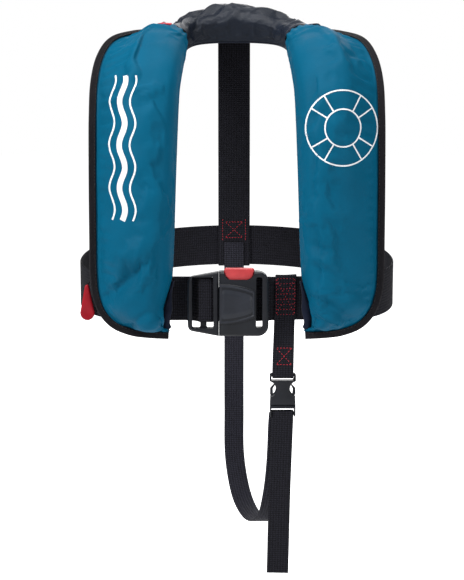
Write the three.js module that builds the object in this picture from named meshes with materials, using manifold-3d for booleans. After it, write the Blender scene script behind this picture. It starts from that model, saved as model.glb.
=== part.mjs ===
// An inflatable life jacket in a junior size, worn on an upright body. Millimetres, +Z up, +X the
// wearer's left, +Y the wearer's back. Everything is laid out in the waist frame, whose origin is
// the middle of the front waist belt, and the whole jacket is then moved so that the part's origin
// is the point of the collar that rests on the back of the neck.
import * as THREE from "three";
import { mergeVertices } from "three/addons/utils/BufferGeometryUtils.js";
import Module from "manifold-3d";

const wasm = await Module();
wasm.setup();

// ---- driving dimensions ----

const CHEST_Y = -112; // the plane on which the two front lobes lie
const LOBE_OUTER_X = 164;
const LOBE_INNER_X = 72; // at the height of the belt
const LOBE_BOTTOM_Z = -44;
const NECK_Y = 41; // the collar's front edge, which rests on the neck
const NECK_Z = 291.5;
const COLLAR_BACK_Y = 110;
const COLLAR_BACK_Z = 321;
const LOBE_PUFF = 42; // height of the packed lobes above the lining
const SHOULDER_PUFF = 30;
const COLLAR_PUFF = 33;

const COVER = 2; // padded nylon
const LINING = 1.5;
const BINDING_WIDTH = 8;
const BINDING = 1.1;
const GAP = 0.3; // between pieces that touch
const SEAM_GAP = 0.015; // between the covers, as a share of one outline step
const FAR = 200; // well past every piece, for tools that cut right through

const WEB = 1.6; // thickness of every webbing
const BELT_WIDTH = 50;
const BACK_STRAP_WIDTH = 40;
const CROTCH_WIDTH = 25;
const TAB_WIDTH = 24;
const WAIST_HALF_WIDTH = 183;
const WAIST_BACK_Y = 110;
const WAIST_RISE = 37.5; // the belt sits this much higher at the back
const BACK_STRAP_X = -3;

const BUCKLE_Z = -4;
const BUCKLE_BACK_Y = -111;
const BUCKLE_DEPTH = 16;
const BUCKLE_HEIGHT = 73;
const BUCKLE_SEAM_X = -20.5;
const HOUSING_RIGHT_X = 35.5;
const TONGUE_LEFT_X = -56;
const TONGUE_END_HEIGHT = 56;

const CLIP_X = 52.3;
const CLIP_TOP_Z = -85.5;
const CLIP_Y = -111;

const CYLINDER_RADIUS = 12;
const CYLINDER_LENGTH = 104;

// ---- small helpers ----

const v = (x, y, z) => new THREE.Vector3(x, y, z);
const mix = (a, b, t) => a + (b - a) * t;
const smooth = (t) => THREE.MathUtils.smoothstep(t, 0, 1);
const between = (a, b, t) => a.clone().lerp(b, t);

// A closed surface from points and triangles: shared points merged, collapsed triangles dropped
// and the faces turned outwards.
function closed(points, faces) {
  const raw = new THREE.BufferGeometry().setFromPoints(points);
  raw.setIndex(faces.flat());
  const merged = mergeVertices(raw, 1e-3);
  const at = merged.getAttribute("position");
  const corner = (i) => new THREE.Vector3().fromBufferAttribute(at, i);
  const kept = [];
  let volume = 0;
  for (let i = 0; i < merged.index.count; i += 3) {
    const [a, b, c] = [0, 1, 2].map((k) => merged.index.getX(i + k));
    if (a === b || b === c || c === a) continue;
    kept.push([a, b, c]);
    volume += corner(a).dot(corner(b).cross(corner(c)));
  }
  merged.setIndex(kept.flatMap((f) => (volume < 0 ? [f[0], f[2], f[1]] : f)));
  return merged;
}

// Triangles of a flat or nearly flat ring of points, by their numbers in the ring.
function capFaces(ring) {
  const normal = v(0, 0, 0);
  ring.forEach((p, i) => {
    normal.add(p.clone().sub(ring[0]).cross(ring[(i + 1) % ring.length].clone().sub(ring[0])));
  });
  const turn = new THREE.Quaternion().setFromUnitVectors(normal.normalize(), v(0, 0, 1));
  const flat = ring.map((p) => p.clone().applyQuaternion(turn));
  return THREE.ShapeUtils.triangulateShape(
    flat.map((p) => new THREE.Vector2(p.x, p.y)),
    [],
  );
}

// A closed solid through rings of equally many points.
function loft(rings) {
  const n = rings[0].length;
  const last = (rings.length - 1) * n;
  const faces = [];
  for (let k = 0; k + 1 < rings.length; k++) {
    for (let i = 0; i < n; i++) {
      const [a, b] = [k * n + i, k * n + ((i + 1) % n)];
      faces.push([a, b, b + n], [a, b + n, a + n]);
    }
  }
  capFaces(rings[0]).forEach(([a, b, c]) => faces.push([a, c, b]));
  capFaces(rings.at(-1)).forEach(([a, b, c]) => faces.push([last + a, last + b, last + c]));
  return closed(rings.flat(), faces);
}

// Any closed geometry as points and triangles with the shared points merged.
function mergedSurface(geometry) {
  const at = geometry.getAttribute("position");
  const points = [];
  for (let i = 0; i < at.count; i++) points.push(v(0, 0, 0).fromBufferAttribute(at, i));
  const corners = geometry.index ? [...geometry.index.array] : points.map((_, i) => i);
  const faces = [];
  for (let i = 0; i < corners.length; i += 3) faces.push(corners.slice(i, i + 3));
  return closed(points, faces);
}

function toSolid(geometry) {
  const merged = mergedSurface(geometry);
  return new wasm.Manifold(
    new wasm.Mesh({
      numProp: 3,
      vertProperties: merged.getAttribute("position").array,
      triVerts: new Uint32Array(merged.index.array),
    }),
  );
}

function fromSolid(solid) {
  const mesh = solid.getMesh();
  const points = [];
  for (let i = 0; i < mesh.numVert; i++) {
    points.push(v(...mesh.vertProperties.subarray(i * mesh.numProp, i * mesh.numProp + 3)));
  }
  const geometry = new THREE.BufferGeometry().setFromPoints(points);
  geometry.setIndex([...mesh.triVerts]);
  return geometry;
}

const cut = (body, ...tools) =>
  fromSolid(tools.reduce((left, tool) => left.subtract(toSolid(tool)), toSolid(body)));
const join = (...pieces) =>
  fromSolid(pieces.slice(1).reduce((sum, piece) => sum.add(toSolid(piece)), toSolid(pieces[0])));

// A box between two corners.
function box(x0, x1, y0, y1, z0, z1) {
  const geometry = new THREE.BoxGeometry(x1 - x0, y1 - y0, z1 - z0);
  return geometry.translate((x0 + x1) / 2, (y0 + y1) / 2, (z0 + z1) / 2);
}

// A flat outline in X and Z, extruded from backY towards the front.
function plate(shape, depth, backY, bevel = 0, curveSegments = 5) {
  const geometry = new THREE.ExtrudeGeometry(shape, {
    depth: depth - bevel,
    bevelEnabled: bevel > 0,
    bevelThickness: bevel,
    bevelSize: bevel,
    bevelOffset: -bevel,
    bevelSegments: 1,
    curveSegments,
  });
  geometry.rotateX(Math.PI / 2);
  geometry.translate(0, backY, 0);
  if (bevel === 0) return geometry;
  const past = 10 * depth;
  return cut(geometry, box(-past, past, backY, backY + past, -past, past));
}

// An outline with round corners; the radii run from the bottom left round by the bottom right.
function roundedOutline(x0, x1, z0, z1, radii) {
  const [a, b, c, d] = Array.isArray(radii) ? radii : [radii, radii, radii, radii];
  const shape = new THREE.Shape();
  shape.moveTo(x0 + a, z0);
  shape.lineTo(x1 - b, z0);
  if (b) shape.absarc(x1 - b, z0 + b, b, -Math.PI / 2, 0, false);
  shape.lineTo(x1, z1 - c);
  if (c) shape.absarc(x1 - c, z1 - c, c, 0, Math.PI / 2, false);
  shape.lineTo(x0 + d, z1);
  if (d) shape.absarc(x0 + d, z1 - d, d, Math.PI / 2, Math.PI, false);
  shape.lineTo(x0, z0 + a);
  if (a) shape.absarc(x0 + a, z0 + a, a, Math.PI, Math.PI * 1.5, false);
  return shape;
}

const cylinderY = (r, x, z, y0, y1, sides = 20) =>
  new THREE.CylinderGeometry(r, r, y1 - y0, sides).translate(x, (y0 + y1) / 2, z);

function cylinderZ(r, x, y, z0, z1, sides = 20) {
  const geometry = new THREE.CylinderGeometry(r, r, z1 - z0, sides).rotateX(Math.PI / 2);
  return geometry.translate(x, y, (z0 + z1) / 2);
}

// A solid of revolution about a vertical axis, from [radius, z] pairs.
function turnedZ(profile, x, y, sides = 20) {
  const points = profile.map(([r, z]) => new THREE.Vector2(r, z));
  const geometry = new THREE.LatheGeometry(points, sides).rotateX(Math.PI / 2);
  return mergedSurface(geometry).translate(x, y, 0);
}

// A strap: a flat strip of webbing along points, with its width along a given direction, or along
// the direction that widthAt gives for each point.
function strap(points, width, widthAt, thickness = WEB) {
  const rings = points.map((p, i) => {
    const before = points[Math.max(i - 1, 0)];
    const after = points[Math.min(i + 1, points.length - 1)];
    const along = after.clone().sub(before).normalize();
    const wide = widthAt.isVector3 ? widthAt : widthAt(p);
    const side = wide.clone().addScaledVector(along, -wide.dot(along)).normalize();
    const face = along.clone().cross(side);
    const corner = (a, b) =>
      p.clone().addScaledVector(side, (a * width) / 2).addScaledVector(face, (b * thickness) / 2);
    return [corner(-1, -1), corner(1, -1), corner(1, 1), corner(-1, 1)];
  });
  return loft(rings);
}

// Points of a strap that turns round a corner at a distance, between two directions in degrees.
function bend(place, [a, b], radius, from, to, count = 3) {
  const points = [];
  for (let i = 0; i < count; i++) {
    const angle = THREE.MathUtils.degToRad(mix(from, to, i / (count - 1)));
    points.push(place(a + radius * Math.cos(angle), b + radius * Math.sin(angle)));
  }
  return points;
}

// A round cord through points.
function cord(points, radius, sides = 8) {
  const path = new THREE.CatmullRomCurve3(points);
  const section = new THREE.Shape();
  section.absarc(0, 0, radius, 0, Math.PI * 2, false);
  return new THREE.ExtrudeGeometry(section, {
    extrudePath: path,
    steps: Math.max(1, points.length * 3),
    curveSegments: sides / 2,
    bevelEnabled: false,
  });
}

// ---- the packed panel: two lobes joined by the collar ----

// Half of the panel's inner and outer edges, from the bottom of the wearer's left lobe up over the
// shoulder to the middle of the collar. Each pair of points is one straight line across the panel.
const INNER_HALF = [
  v(LOBE_INNER_X + 5, CHEST_Y, LOBE_BOTTOM_Z + BINDING_WIDTH),
  v(LOBE_INNER_X + 5, CHEST_Y, LOBE_BOTTOM_Z + 11),
  v(LOBE_INNER_X + 5, CHEST_Y, LOBE_BOTTOM_Z + 17),
  v(LOBE_INNER_X + 4.5, CHEST_Y, LOBE_BOTTOM_Z + 27),
  v(LOBE_INNER_X + 3.5, CHEST_Y, -5),
  v(LOBE_INNER_X + 2, CHEST_Y, 10),
  v(LOBE_INNER_X + 0.5, CHEST_Y, 28),
  v(LOBE_INNER_X - 1.5, CHEST_Y, 65),
  v(LOBE_INNER_X - 3, CHEST_Y + 1, 110),
  v(LOBE_INNER_X - 4.5, CHEST_Y + 4, 155),
  v(LOBE_INNER_X - 6, CHEST_Y + 13, 198),
  v(LOBE_INNER_X - 7.5, -82, 233),
  v(LOBE_INNER_X - 9.5, -58, 252),
  v(LOBE_INNER_X - 10.5, -30, 264),
  v(LOBE_INNER_X - 11.5, -5, NECK_Z - 17.5),
  v(LOBE_INNER_X - 14, NECK_Y - 23, NECK_Z - 8.5),
  v(LOBE_INNER_X - 25, NECK_Y - 6, NECK_Z - 3),
  v(LOBE_INNER_X - 47, NECK_Y - 1, NECK_Z - 0.5),
  v(0, NECK_Y, NECK_Z),
];
const OUTER_HALF = [
  v(LOBE_INNER_X + 5.5, CHEST_Y, LOBE_BOTTOM_Z),
  v(LOBE_OUTER_X - 66, CHEST_Y, LOBE_BOTTOM_Z + 1),
  v(LOBE_OUTER_X - 44, CHEST_Y, LOBE_BOTTOM_Z + 4),
  v(LOBE_OUTER_X - 23, CHEST_Y, LOBE_BOTTOM_Z + 13),
  v(LOBE_OUTER_X - 9, CHEST_Y, -15),
  v(LOBE_OUTER_X - 2, CHEST_Y, 6),
  v(LOBE_OUTER_X, CHEST_Y, 30),
  v(LOBE_OUTER_X, CHEST_Y, 68),
  v(LOBE_OUTER_X, CHEST_Y + 1, 115),
  v(LOBE_OUTER_X, CHEST_Y + 5, 160),
  v(LOBE_OUTER_X, CHEST_Y + 13, 205),
  v(LOBE_OUTER_X - 1, -83, 244),
  v(LOBE_OUTER_X - 6, -58, 272),
  v(LOBE_OUTER_X - 17, -28, 291),
  v(LOBE_OUTER_X - 40, 5, COLLAR_BACK_Z - 21),
  v(LOBE_OUTER_X - 70, COLLAR_BACK_Y - 65, COLLAR_BACK_Z - 16),
  v(LOBE_OUTER_X - 93, COLLAR_BACK_Y - 34, COLLAR_BACK_Z - 9),
  v(LOBE_OUTER_X - 127, COLLAR_BACK_Y - 9, COLLAR_BACK_Z - 2),
  v(0, COLLAR_BACK_Y, COLLAR_BACK_Z),
];
const MIDDLE = INNER_HALF.length - 1; // outline step at the middle of the collar
const END = 2 * MIDDLE;
const SHOULDER = 14; // outline step of the seam between a lobe and the collar

const wholeEdge = (half) =>
  new THREE.CatmullRomCurve3([
    ...half,
    ...half
      .slice(0, -1)
      .reverse()
      .map((p) => v(-p.x, p.y, p.z)),
  ]);
const INNER_EDGE = wholeEdge(INNER_HALF);
const OUTER_EDGE = wholeEdge(OUTER_HALF);

// How full the panel is at an outline step, before the narrow bottom corner flattens it.
function puffAt(step) {
  const fromMiddle = Math.abs(step - MIDDLE);
  const toShoulder = smooth(fromMiddle / 4);
  const toLobe = smooth((fromMiddle - 4) / 5);
  return mix(mix(COLLAR_PUFF, SHOULDER_PUFF, toShoulder), LOBE_PUFF, toLobe);
}

// One line across the panel: its inner edge, its outer edge, the foot of the binding (seam), the
// direction out of the front face (normal), the way past the outer edge (out), and its height.
function across(step) {
  const t = step / END;
  const inner = INNER_EDGE.getPoint(t);
  const edge = OUTER_EDGE.getPoint(t);
  const width = edge.clone().sub(inner).normalize();
  const tangent = (curve) =>
    curve
      .getPoint(Math.min(t + 0.002, 1))
      .sub(curve.getPoint(Math.max(t - 0.002, 0)))
      .normalize();
  const run = tangent(OUTER_EDGE);
  const along = tangent(INNER_EDGE).add(run);
  const flat = Math.abs(width.y) + Math.abs(run.y) < 1e-6;
  const normal = flat ? v(0, -1, 0) : width.clone().cross(along).normalize();
  const out = run.clone().cross(normal).normalize();
  const seam = edge.clone().addScaledVector(width, -BINDING_WIDTH / Math.max(width.dot(out), 0.3));
  const reach = seam.distanceTo(inner);
  const puff = puffAt(step) * Math.sqrt(smooth(reach / 75));
  return { step, inner, edge, seam, normal, out, reach, puff };
}

// A point at a share u of the way from the inner edge to the seam, h above the lining.
const onPanel = (line, u, h) =>
  between(line.inner, line.seam, u).addScaledVector(line.normal, h);

// The puffed section: share of the width, and share of the height.
const PUFF_PROFILE = [
  [0, 0],
  [0.012, 0.34],
  [0.05, 0.66],
  [0.13, 0.89],
  [0.27, 1],
  [0.44, 0.98],
  [0.61, 0.85],
  [0.77, 0.59],
  [0.9, 0.29],
  [1, 0],
];

function profileAt(u) {
  const k = PUFF_PROFILE.findIndex(([next]) => next >= u);
  if (k <= 0) return PUFF_PROFILE[0][1];
  const [[u0, h0], [u1, h1]] = [PUFF_PROFILE[k - 1], PUFF_PROFILE[k]];
  return mix(h0, h1, (u - u0) / (u1 - u0));
}

// Outline steps of a half, closer together round the corner and over the shoulder.
const HALF_STEPS = [
  0, 0.5, 1, 1.5, 2, 2.5, 3, 3.5, 4, 5, 6, 7, 8, 9, 9.5, 10, 10.5, 11, 11.5, 12, 12.5, 13, 13.5,
  14, 14.5, 15, 15.5, 16, 16.5, 17, 18,
];
const ALL_STEPS = [
  ...HALF_STEPS,
  ...HALF_STEPS.slice(0, -1)
    .reverse()
    .map((s) => END - s),
];

// The steps from one to another, with both ends exactly as given.
function stepsBetween(from, to) {
  const inside = ALL_STEPS.filter((s) => s > from + 0.05 && s < to - 0.05);
  return [from, ...inside, to];
}

const RECESS = 8; // how far the cover's inner edge draws back at the closure
const RECESS_TOP = 31; // the height where it starts

// The closure draws the cover back from the inner edge at the bottom of a lobe.
function recessAt(line) {
  const down = (RECESS_TOP - line.inner.z) / (RECESS_TOP - LOBE_BOTTOM_Z);
  return RECESS * smooth(THREE.MathUtils.clamp(1.5 * down, 0, 1));
}

// The same line with its inner edge drawn back for the cover.
function coverLine(step) {
  const line = across(step);
  const share = Math.min(recessAt(line) / line.reach, 0.5);
  return { ...line, inner: between(line.inner, line.seam, share) };
}

function coverRing(line) {
  const { edge, normal } = line;
  return [
    ...PUFF_PROFILE.map(([u, h]) => onPanel(line, u, line.puff * h + COVER * u)),
    edge.clone().addScaledVector(normal, COVER),
    edge.clone(),
    onPanel(line, 1, 0),
    onPanel(line, 0.5, 0),
  ];
}

// The shares of the width at which a cover's hollow begins and ends.
function hollowSpan(line) {
  const width = line.seam.distanceTo(line.inner);
  return [COVER / width, 1 - (1.2 * COVER) / width];
}

// The height of the hollow at a share of the width.
function hollowTop(line, u) {
  const [first, last] = hollowSpan(line);
  return (line.puff - COVER) * profileAt((u - first) / (last - first));
}

function hollowRing(line) {
  const [first, last] = hollowSpan(line);
  return [
    onPanel(line, first, -1),
    ...PUFF_PROFILE.map(([u, h]) => onPanel(line, mix(first, last, u), (line.puff - COVER) * h)),
    onPanel(line, last, -1),
  ];
}

const HOLLOW_FROM = 2; // the cover is solid below this outline step

// A cover between two outline steps: a shell, open towards the lining and at a shoulder seam.
function cover(from, to) {
  const hollowStart = from === 0 ? HOLLOW_FROM : from - 0.3;
  const hollowEnd = to === END ? END - HOLLOW_FROM : to + 0.3;
  const rings = (steps, ring) => loft(steps.map((s) => ring(coverLine(s))));
  return cut(
    rings(stepsBetween(from, to), coverRing),
    rings(stepsBetween(hollowStart, hollowEnd), hollowRing),
  );
}

const coverLeft = () => cover(0, SHOULDER - SEAM_GAP);
const collarCover = () => cover(SHOULDER + SEAM_GAP, END - SHOULDER - SEAM_GAP);
const coverRight = () => cover(END - SHOULDER + SEAM_GAP, END);

const LINING_FRONT = -GAP; // heights above the lining's own datum, the foot of the cover
const LINING_BACK = -GAP - LINING;

function lining() {
  const rings = ALL_STEPS.map((s) => {
    const line = across(s);
    const at = (u, h) => between(line.inner, line.edge, u).addScaledVector(line.normal, h);
    const shares = [0, 0.35, 0.7, 1];
    return [
      ...shares.map((u) => at(u, LINING_FRONT)),
      ...shares.reverse().map((u) => at(u, LINING_BACK)),
    ];
  });
  return cut(loft(rings), cordSlot());
}

// The tape folded over the outer edge of cover and lining.
function edgeBinding() {
  const front = COVER + GAP;
  const back = LINING_BACK - GAP;
  const section = [
    [1.7 - BINDING_WIDTH, front],
    [GAP, front],
    [GAP, back],
    [-BINDING_WIDTH, back],
    [-BINDING_WIDTH, back - BINDING],
    [GAP + BINDING, back - BINDING],
    [GAP + BINDING, front + BINDING],
    [1.7 - BINDING_WIDTH, front + BINDING],
  ];
  const rings = ALL_STEPS.map((s) => {
    const { edge, out, normal } = across(s);
    return section.map(([a, h]) =>
      edge.clone().addScaledVector(out, a).addScaledVector(normal, h),
    );
  });
  return loft(rings);
}

// The strip of closure tape that shows where a cover's inner edge is drawn back.
function closureFlap(mirrored) {
  const steps = [0.5, 1, 2, 3, 4, 5, 5.6];
  const rings = steps.map((s) => {
    const line = across(mirrored ? END - s : s);
    const width = line.seam.clone().sub(line.inner).normalize();
    const reach = Math.max(Math.min(recessAt(line), line.reach * 0.5) - GAP, 0.6);
    const at = (a, h) =>
      line.inner.clone().addScaledVector(width, a).addScaledVector(line.normal, h);
    return [at(0, 0), at(reach, 0), at(reach, 2.2), at(reach / 2, 2.8), at(0, 1.6)];
  });
  return loft(rings);
}

// The folded bladder, thin where the inflator and the oral tube lie on it.
const BLADDER_THIN = 5;
const BLADDER_TOP_OF_THIN = 188; // height up to which it is thin

function bladder() {
  const shares = [0.1, 0.18, 0.3, 0.5, 0.64, 0.72];
  const lift = 1;
  const rings = stepsBetween(2.5, END - 2.5).map((s) => {
    const line = coverLine(s);
    const thin = smooth((BLADDER_TOP_OF_THIN + 22 - line.inner.z) / 22);
    const most = mix(60, BLADDER_THIN, thin);
    const top = (u) => Math.min(hollowTop(line, u) - 3, most);
    return [
      ...shares.map((u) => onPanel(line, u, Math.max(top(u), lift + 1))),
      onPanel(line, 0.72, lift),
      onPanel(line, 0.1, lift),
    ];
  });
  return loft(rings);
}

// ---- the inflator, in the wearer's right lobe ----

const INFLATOR_X = -100;
const INFLATOR_BACK_Y = CHEST_Y - 9;
const INFLATOR_DEPTH = 22;
const INFLATOR_Z0 = 22;
const INFLATOR_Z1 = 62;
const INFLATOR_HALF = 15;
const CYLINDER_Y = INFLATOR_BACK_Y - INFLATOR_DEPTH / 2;
const STUD_Z = 31;
const STUD_RADIUS = 4;
const NECK_RADIUS = 6.5;
const NECK_LENGTH = 12;
const SEAL_Z = INFLATOR_Z1 - NECK_LENGTH - 0.6; // the lower face of the cylinder's seal
const PIN_RADIUS = 2;
const PIN_TRAVEL = 3;
const LEVER_PIVOT = [-119, 44]; // x, z
const LEVER_LENGTH = 20;
const LEVER_REST = THREE.MathUtils.degToRad(128);
const LEVER_THICK = 4;
const LEVER_PIN_RADIUS = 1.6;
const EAR = 2.4; // thickness of the inflator's two ears, which hold the lever pin
const LEVER_Y = INFLATOR_BACK_Y - EAR - GAP; // the back face of the lever

function inflatorManifold() {
  const seat = CHEST_Y - BLADDER_THIN - GAP;
  const disc = cylinderY(15, INFLATOR_X, STUD_Z + 3, INFLATOR_BACK_Y + GAP, seat, 28);
  const studEnd = INFLATOR_BACK_Y - INFLATOR_DEPTH - 3.6;
  return join(disc, cylinderY(STUD_RADIUS, INFLATOR_X, STUD_Z, studEnd, CHEST_Y - 7, 16));
}

function manifoldNut() {
  const front = INFLATOR_BACK_Y - INFLATOR_DEPTH - GAP;
  const nut = cylinderY(7.5, INFLATOR_X, STUD_Z, front - 4, front, 6);
  return cut(nut, cylinderY(STUD_RADIUS + GAP, INFLATOR_X, STUD_Z, front - 5, front + 1, 16));
}

function inflatorBody() {
  const outline = roundedOutline(
    INFLATOR_X - INFLATOR_HALF,
    INFLATOR_X + INFLATOR_HALF,
    INFLATOR_Z0,
    INFLATOR_Z1,
    5,
  );
  const block = plate(outline, INFLATOR_DEPTH, INFLATOR_BACK_Y, 1.5, 3);
  const [px, pz] = LEVER_PIVOT;
  const wall = INFLATOR_X - INFLATOR_HALF;
  const ear = (y0) => box(px - 5, wall + 2, y0, y0 + EAR, pz - 5, pz + 5);
  const front = LEVER_Y - LEVER_THICK;
  const ears = [ear(front - GAP - EAR), ear(LEVER_Y + GAP)];
  return cut(
    join(block, ...ears),
    cylinderY(STUD_RADIUS + GAP, INFLATOR_X, STUD_Z, -FAR, -FAR / 2, 16),
    cylinderZ(NECK_RADIUS + GAP, INFLATOR_X, CYLINDER_Y, INFLATOR_Z1 - NECK_LENGTH - 1.5, 90),
    cylinderZ(PIN_RADIUS + GAP, INFLATOR_X, CYLINDER_Y, INFLATOR_Z0 + 16.5, 90, 12),
    cylinderY(LEVER_PIN_RADIUS + GAP, px, pz, -FAR, -FAR / 2, 12),
    box(px - 7, wall + 1.2, front - GAP, LEVER_Y + GAP, pz - 8, pz + 8),
  );
}

// The drum of the lever at its pivot, and the arm to the pull cord.
function firingLever() {
  const [px, pz] = LEVER_PIVOT;
  const drum = cylinderY(3.6, px, pz, LEVER_Y - LEVER_THICK, LEVER_Y, 16);
  const arm = box(0, LEVER_LENGTH, LEVER_Y - LEVER_THICK, LEVER_Y, -2.2, 2.2);
  arm.rotateY(-LEVER_REST).translate(px, 0, pz);
  return cut(join(drum, arm), cylinderY(LEVER_PIN_RADIUS + GAP, px, pz, -FAR, -FAR / 2, 12));
}

function leverPin() {
  const [px, pz] = LEVER_PIVOT;
  const front = LEVER_Y - LEVER_THICK - GAP - EAR;
  return cylinderY(LEVER_PIN_RADIUS, px, pz, front, LEVER_Y + GAP + EAR, 12);
}

function firingPin() {
  const tip = SEAL_Z - GAP - PIN_TRAVEL;
  const profile = [
    [0, INFLATOR_Z0 + 17],
    [PIN_RADIUS, INFLATOR_Z0 + 17],
    [PIN_RADIUS, tip - 4.5],
    [0, tip],
  ];
  return turnedZ(profile, INFLATOR_X, CYLINDER_Y, 12);
}

function cylinderSeal() {
  return cylinderZ(NECK_RADIUS - 0.5, INFLATOR_X, CYLINDER_Y, SEAL_Z, SEAL_Z + 0.8);
}

function co2Cylinder() {
  const neckFoot = INFLATOR_Z1 - NECK_LENGTH + 0.5;
  const shoulder = INFLATOR_Z1 + 1;
  const top = INFLATOR_Z1 + CYLINDER_LENGTH;
  const r = CYLINDER_RADIUS;
  const profile = [
    [0, neckFoot],
    [NECK_RADIUS, neckFoot],
    [NECK_RADIUS, shoulder],
    [r * 0.82, shoulder + 4],
    [r, shoulder + 10],
    [r, top - 9],
    [r * 0.75, top - 3],
    [r * 0.4, top - 0.5],
    [0, top],
  ];
  return turnedZ(profile, INFLATOR_X, CYLINDER_Y, 24);
}

// The pull cord runs straight from the lever's tip, through a slot in the lining, to the handle.
const CORD_RADIUS = 1.4;
const LEVER_TIP = v(
  LEVER_PIVOT[0] + (LEVER_LENGTH - 2) * Math.cos(LEVER_REST),
  LEVER_Y - LEVER_THICK / 2,
  LEVER_PIVOT[1] + (LEVER_LENGTH - 2) * Math.sin(LEVER_REST),
);
const HANDLE_TOP = v(-171, -95, 14);
const CORD_WAY = HANDLE_TOP.clone().sub(LEVER_TIP).normalize();
const HANDLE_LENGTH = 41;

function pullCord() {
  const from = LEVER_TIP.clone().addScaledVector(CORD_WAY, 3.4);
  const to = HANDLE_TOP.clone().addScaledVector(CORD_WAY, -1.6 - GAP);
  return cord([from, between(from, to, 0.5), to], CORD_RADIUS);
}

function cordSlot() {
  const share = (CHEST_Y - LINING_FRONT - LEVER_TIP.y) / (HANDLE_TOP.y - LEVER_TIP.y);
  const middle = between(LEVER_TIP, HANDLE_TOP, share);
  const slot = new THREE.BoxGeometry(7, 8, 24);
  const lean = Math.atan2(CORD_WAY.x, CORD_WAY.z);
  return slot.rotateY(lean).translate(middle.x, middle.y, middle.z);
}

// The handle: a teardrop, hanging from its narrow end.
function pullHandle() {
  const [x, z] = [HANDLE_TOP.x, HANDLE_TOP.z];
  const wide = 8.2;
  const narrow = 2.6;
  const low = z - HANDLE_LENGTH + wide;
  const lean = THREE.MathUtils.degToRad(10);
  const shape = new THREE.Shape();
  shape.moveTo(x + narrow, z - narrow);
  shape.absarc(x, z - narrow, narrow, lean, Math.PI - lean, false);
  shape.lineTo(x - wide, low + 1.5);
  shape.absarc(x, low, wide, Math.PI - lean, 2 * Math.PI + lean, false);
  return plate(shape, 6, HANDLE_TOP.y + 3, 1.2, 6);
}

// ---- the oral tube and the whistle, in the wearer's left lobe ----

const ORAL_X = 106;
const ORAL_Y = CHEST_Y - 18;
const ORAL_FOOT = 58;
const ORAL_TOP = 138;
const ORAL_RADIUS = 6;
const VALVE_RADIUS = 7;
const STEM_TRAVEL = 3;
const CAP_TRAVEL = 16;

function oralTube() {
  const seat = CHEST_Y - BLADDER_THIN - GAP;
  const base = cylinderY(14, ORAL_X, ORAL_FOOT + 6, CHEST_Y - 11, seat, 24);
  const elbow = box(ORAL_X - 6, ORAL_X + 6, ORAL_Y - 6, CHEST_Y - 10, ORAL_FOOT, ORAL_FOOT + 12);
  const tube = cylinderZ(ORAL_RADIUS, ORAL_X, ORAL_Y, ORAL_FOOT + 2, ORAL_TOP, 20);
  return cut(
    join(base, elbow, tube),
    cylinderZ(ORAL_RADIUS - 1.5, ORAL_X, ORAL_Y, ORAL_FOOT + 5, ORAL_TOP + 5, 16),
  );
}

function oralValveBody() {
  const floor = ORAL_TOP + GAP;
  const rim = floor + 16;
  const profile = [
    [3, floor],
    [VALVE_RADIUS, floor],
    [VALVE_RADIUS, rim],
    [5.6, rim],
    [5.6, floor + 6],
    [3, floor + 6],
    [3, floor],
  ];
  return turnedZ(profile, ORAL_X, ORAL_Y, 20);
}

function oralValveStem() {
  const seat = ORAL_TOP + GAP + 6;
  const profile = [
    [0, seat - 8],
    [2.4, seat - 8],
    [2.4, seat + GAP + STEM_TRAVEL],
    [4.8, seat + GAP + STEM_TRAVEL],
    [4.8, seat + GAP + STEM_TRAVEL + 2],
    [0, seat + GAP + STEM_TRAVEL + 3],
  ];
  return turnedZ(profile, ORAL_X, ORAL_Y, 16);
}

function oralCap() {
  const foot = ORAL_TOP + GAP + 4;
  const top = ORAL_TOP + GAP + 16 + 3.3;
  const inside = VALVE_RADIUS + GAP;
  const profile = [
    [0, top],
    [inside + 1.4, top],
    [inside + 1.4, foot],
    [inside, foot],
    [inside, top - 2.4],
    [0, top - 2.4],
    [0, top],
  ];
  return turnedZ(profile, ORAL_X, ORAL_Y, 20);
}

const WHISTLE = [76, 84]; // x and the height of its lower end

function whistle() {
  const [x, z] = WHISTLE;
  const outline = roundedOutline(x, x + 13, z, z + 40, [3, 3, 6, 6]);
  const body = plate(outline, 9, CHEST_Y - BLADDER_THIN - 2.5, 1, 3);
  const y = CHEST_Y - BLADDER_THIN - 2.5 - 4.5;
  return cut(
    body,
    box(x + 2.5, x + 10.5, y - 2.5, y + 2.5, z - 1, z + 26),
    box(x + 3, x + 10, y - 10, y, z + 22, z + 26),
    cylinderY(1.8, x + 6.5, z + 35, -FAR, -FAR / 2, 12),
  );
}

// The whistle's cord: from its eye up and over to the oral tube's collar.
function whistleCord() {
  const x = WHISTLE[0] + 6.5;
  const z = WHISTLE[1] + 35;
  const y = CHEST_Y - BLADDER_THIN - 4;
  return cord(
    [
      v(x, y, z),
      v(x, y - 9, z),
      v(x + 0.5, y - 12.5, z + 6),
      v(x + 4, y - 11, z + 13),
      v(ORAL_X - ORAL_RADIUS - 6, ORAL_Y, ORAL_TOP - 6),
      v(ORAL_X - ORAL_RADIUS - 0.4, ORAL_Y, ORAL_TOP - 6),
    ],
    1,
    8,
  );
}

// ---- webbing ----

const UP = v(0, 0, 1);
const SIDEWAYS = v(1, 0, 0);
const LINING_BACK_Y = CHEST_Y - LINING_BACK; // back face of the lining behind the lobes
const LAYER = WEB + GAP;
const FIRST_LAYER_Y = LINING_BACK_Y + GAP + WEB / 2;
const BELT_Y = FIRST_LAYER_Y + 2 * LAYER; // the waist belt lies behind two runs of the adjuster
const BELT_STRAIGHT_X = 125; // the belt is straight between the lobes up to here

const beltZ = (y) => (WAIST_RISE * (y - BELT_Y)) / (WAIST_BACK_Y - BELT_Y);

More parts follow.
